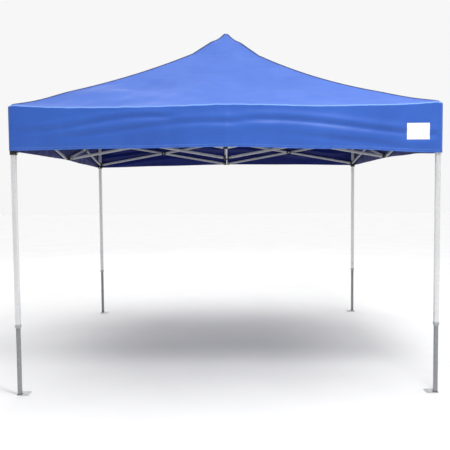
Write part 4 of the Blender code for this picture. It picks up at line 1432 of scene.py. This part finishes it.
def build_joints():
    faces = {"upper": 1, "lower": -1}
    plates = {level: (connector_casting(side), connector_rivets(side)) for level, side in faces.items()}
    for index, side in enumerate(SIDES):
        for level, z in (("upper", TOP_Z), ("lower", LOW_Z)):
            name = f"{level}_connector_{side}"
            casting, rivets = plates[level]
            piece(name + "_casting", casting, side_frame(index, z), name, NYLON, [name])
            piece(name + "_rivets", rivets, side_frame(index, z), name, ZINC)
    for level, z, side in (("upper", TOP_Z, -1), ("lower", LOW_Z, 1)):
        name, place = level + "_centre_hub", Matrix.Translation((0.0, 0.0, z))
        hub = hub_casting(side, level == "upper")
        piece(name + "_casting", hub, place, name, NYLON, [name])
        piece(name + "_rivets", hub_rivets(side), place, name, ZINC)
    ground = Matrix.Identity(4)
    piece("peak_pole_tube", pole_mesh(), ground, "lower_centre_hub", POLE_PAINT, ["peak_pole"])
    piece("peak_pole_cap", pole_cap_mesh(), ground, "lower_centre_hub", NYLON)


build_corners()
build_trusses()
build_joints()

# Stage -----------------------------------------------------------------------------------


def add_floor():
    """A pale floor that runs far past the canopy."""
    bm = bmesh.new()
    bmesh.ops.create_grid(bm, x_segments=24, y_segments=24, size=30.0)
    floor = bpy.data.objects.new("floor", finished(bm, "floor"))
    bpy.context.scene.collection.objects.link(floor)
    floor.location.z = -0.0005
    shader = Shader("pale_floor", Specular_IOR_Level=0.2)
    tone = shader.noise(shader.place(), 1.5, 3.0)
    colour = shader.ramp(tone, (0.3, (0.80, 0.80, 0.80)), (0.7, (0.83, 0.83, 0.83)))
    floor.data.materials.append(shader.set(Base_Color=colour, Roughness=0.75))


def add_light(name, place, aim, size, power):
    data = bpy.data.lights.new(name, "AREA")
    data.shape = "DISK"
    data.size = size
    data.energy = power
    lamp = bpy.data.objects.new(name, data)
    bpy.context.scene.collection.objects.link(lamp)
    lamp.location = place
    heading = Vector(aim) - Vector(place)
    lamp.rotation_euler = heading.to_track_quat("-Z", "Y").to_euler()


def add_sun(place, power):
    """Broad soft light from the ceiling, even over the whole floor."""
    data = bpy.data.lights.new("ceiling", "SUN")
    data.energy = power
    data.angle = math.radians(60)
    lamp = bpy.data.objects.new("ceiling", data)
    bpy.context.scene.collection.objects.link(lamp)
    lamp.rotation_euler = Vector(place).to_track_quat("Z", "Y").to_euler()


def add_world():
    """Soft surroundings, brighter behind the canopy and to its right."""
    world = bpy.data.worlds.new("studio")
    world.use_nodes = True
    tree = world.node_tree
    heading = tree.nodes.new("ShaderNodeVectorMath")
    heading.operation = "DOT_PRODUCT"
    heading.inputs[1].default_value = (0.35, 0.90, 0.25)
    tree.links.new(tree.nodes.new("ShaderNodeTexCoord").outputs["Generated"], heading.inputs[0])
    ramp = tree.nodes.new("ShaderNodeMapRange")
    ramp.inputs["From Min"].default_value = -1.0
    ramp.inputs["From Max"].default_value = 0.75
    ramp.inputs["To Min"].default_value = 0.30
    ramp.inputs["To Max"].default_value = 0.93
    tree.links.new(heading.outputs["Value"], ramp.inputs["Value"])
    tree.links.new(ramp.outputs["Result"], tree.nodes["Background"].inputs["Color"])
    bpy.context.scene.world = world


CAMERA_PLACE = Vector((0.0127, -5.7551, 1.438))
CAMERA_YAW, CAMERA_PITCH, CAMERA_ROLL = -0.0046, 0.0586, -0.0079  # to the right, down and clockwise
CAMERA_LENS = 49.72


def add_camera():
    data = bpy.data.cameras.new("camera")
    data.lens = CAMERA_LENS
    data.sensor_width = 36.0
    camera = bpy.data.objects.new("camera", data)
    bpy.context.scene.collection.objects.link(camera)
    ahead = Vector(
        (
            math.sin(CAMERA_YAW) * math.cos(CAMERA_PITCH),
            math.cos(CAMERA_YAW) * math.cos(CAMERA_PITCH),
            -math.sin(CAMERA_PITCH),
        )
    )
    level = Vector((math.cos(CAMERA_YAW), -math.sin(CAMERA_YAW), 0.0))
    upright = level.cross(ahead)
    cosine, sine = math.cos(CAMERA_ROLL), math.sin(CAMERA_ROLL)
    right, up = cosine * level + sine * upright, cosine * upright - sine * level
    axes = Matrix((right, up, -ahead)).transposed().to_4x4()
    camera.matrix_world = Matrix.Translation(CAMERA_PLACE) @ axes
    bpy.context.scene.camera = camera


add_floor()
add_world()
add_light("key", (1.3, -3.4, 5.0), (0.2, -1.0, 1.9), 1.2, 128.0)
add_light("rear", (-2.0, 6.5, 5.0), (0.0, 0.0, 1.6), 3.0, 60.0)
add_sun((0.3, -0.1, 5.0), 1.4)
add_camera()
bpy.context.scene.view_settings.view_transform = "Standard"
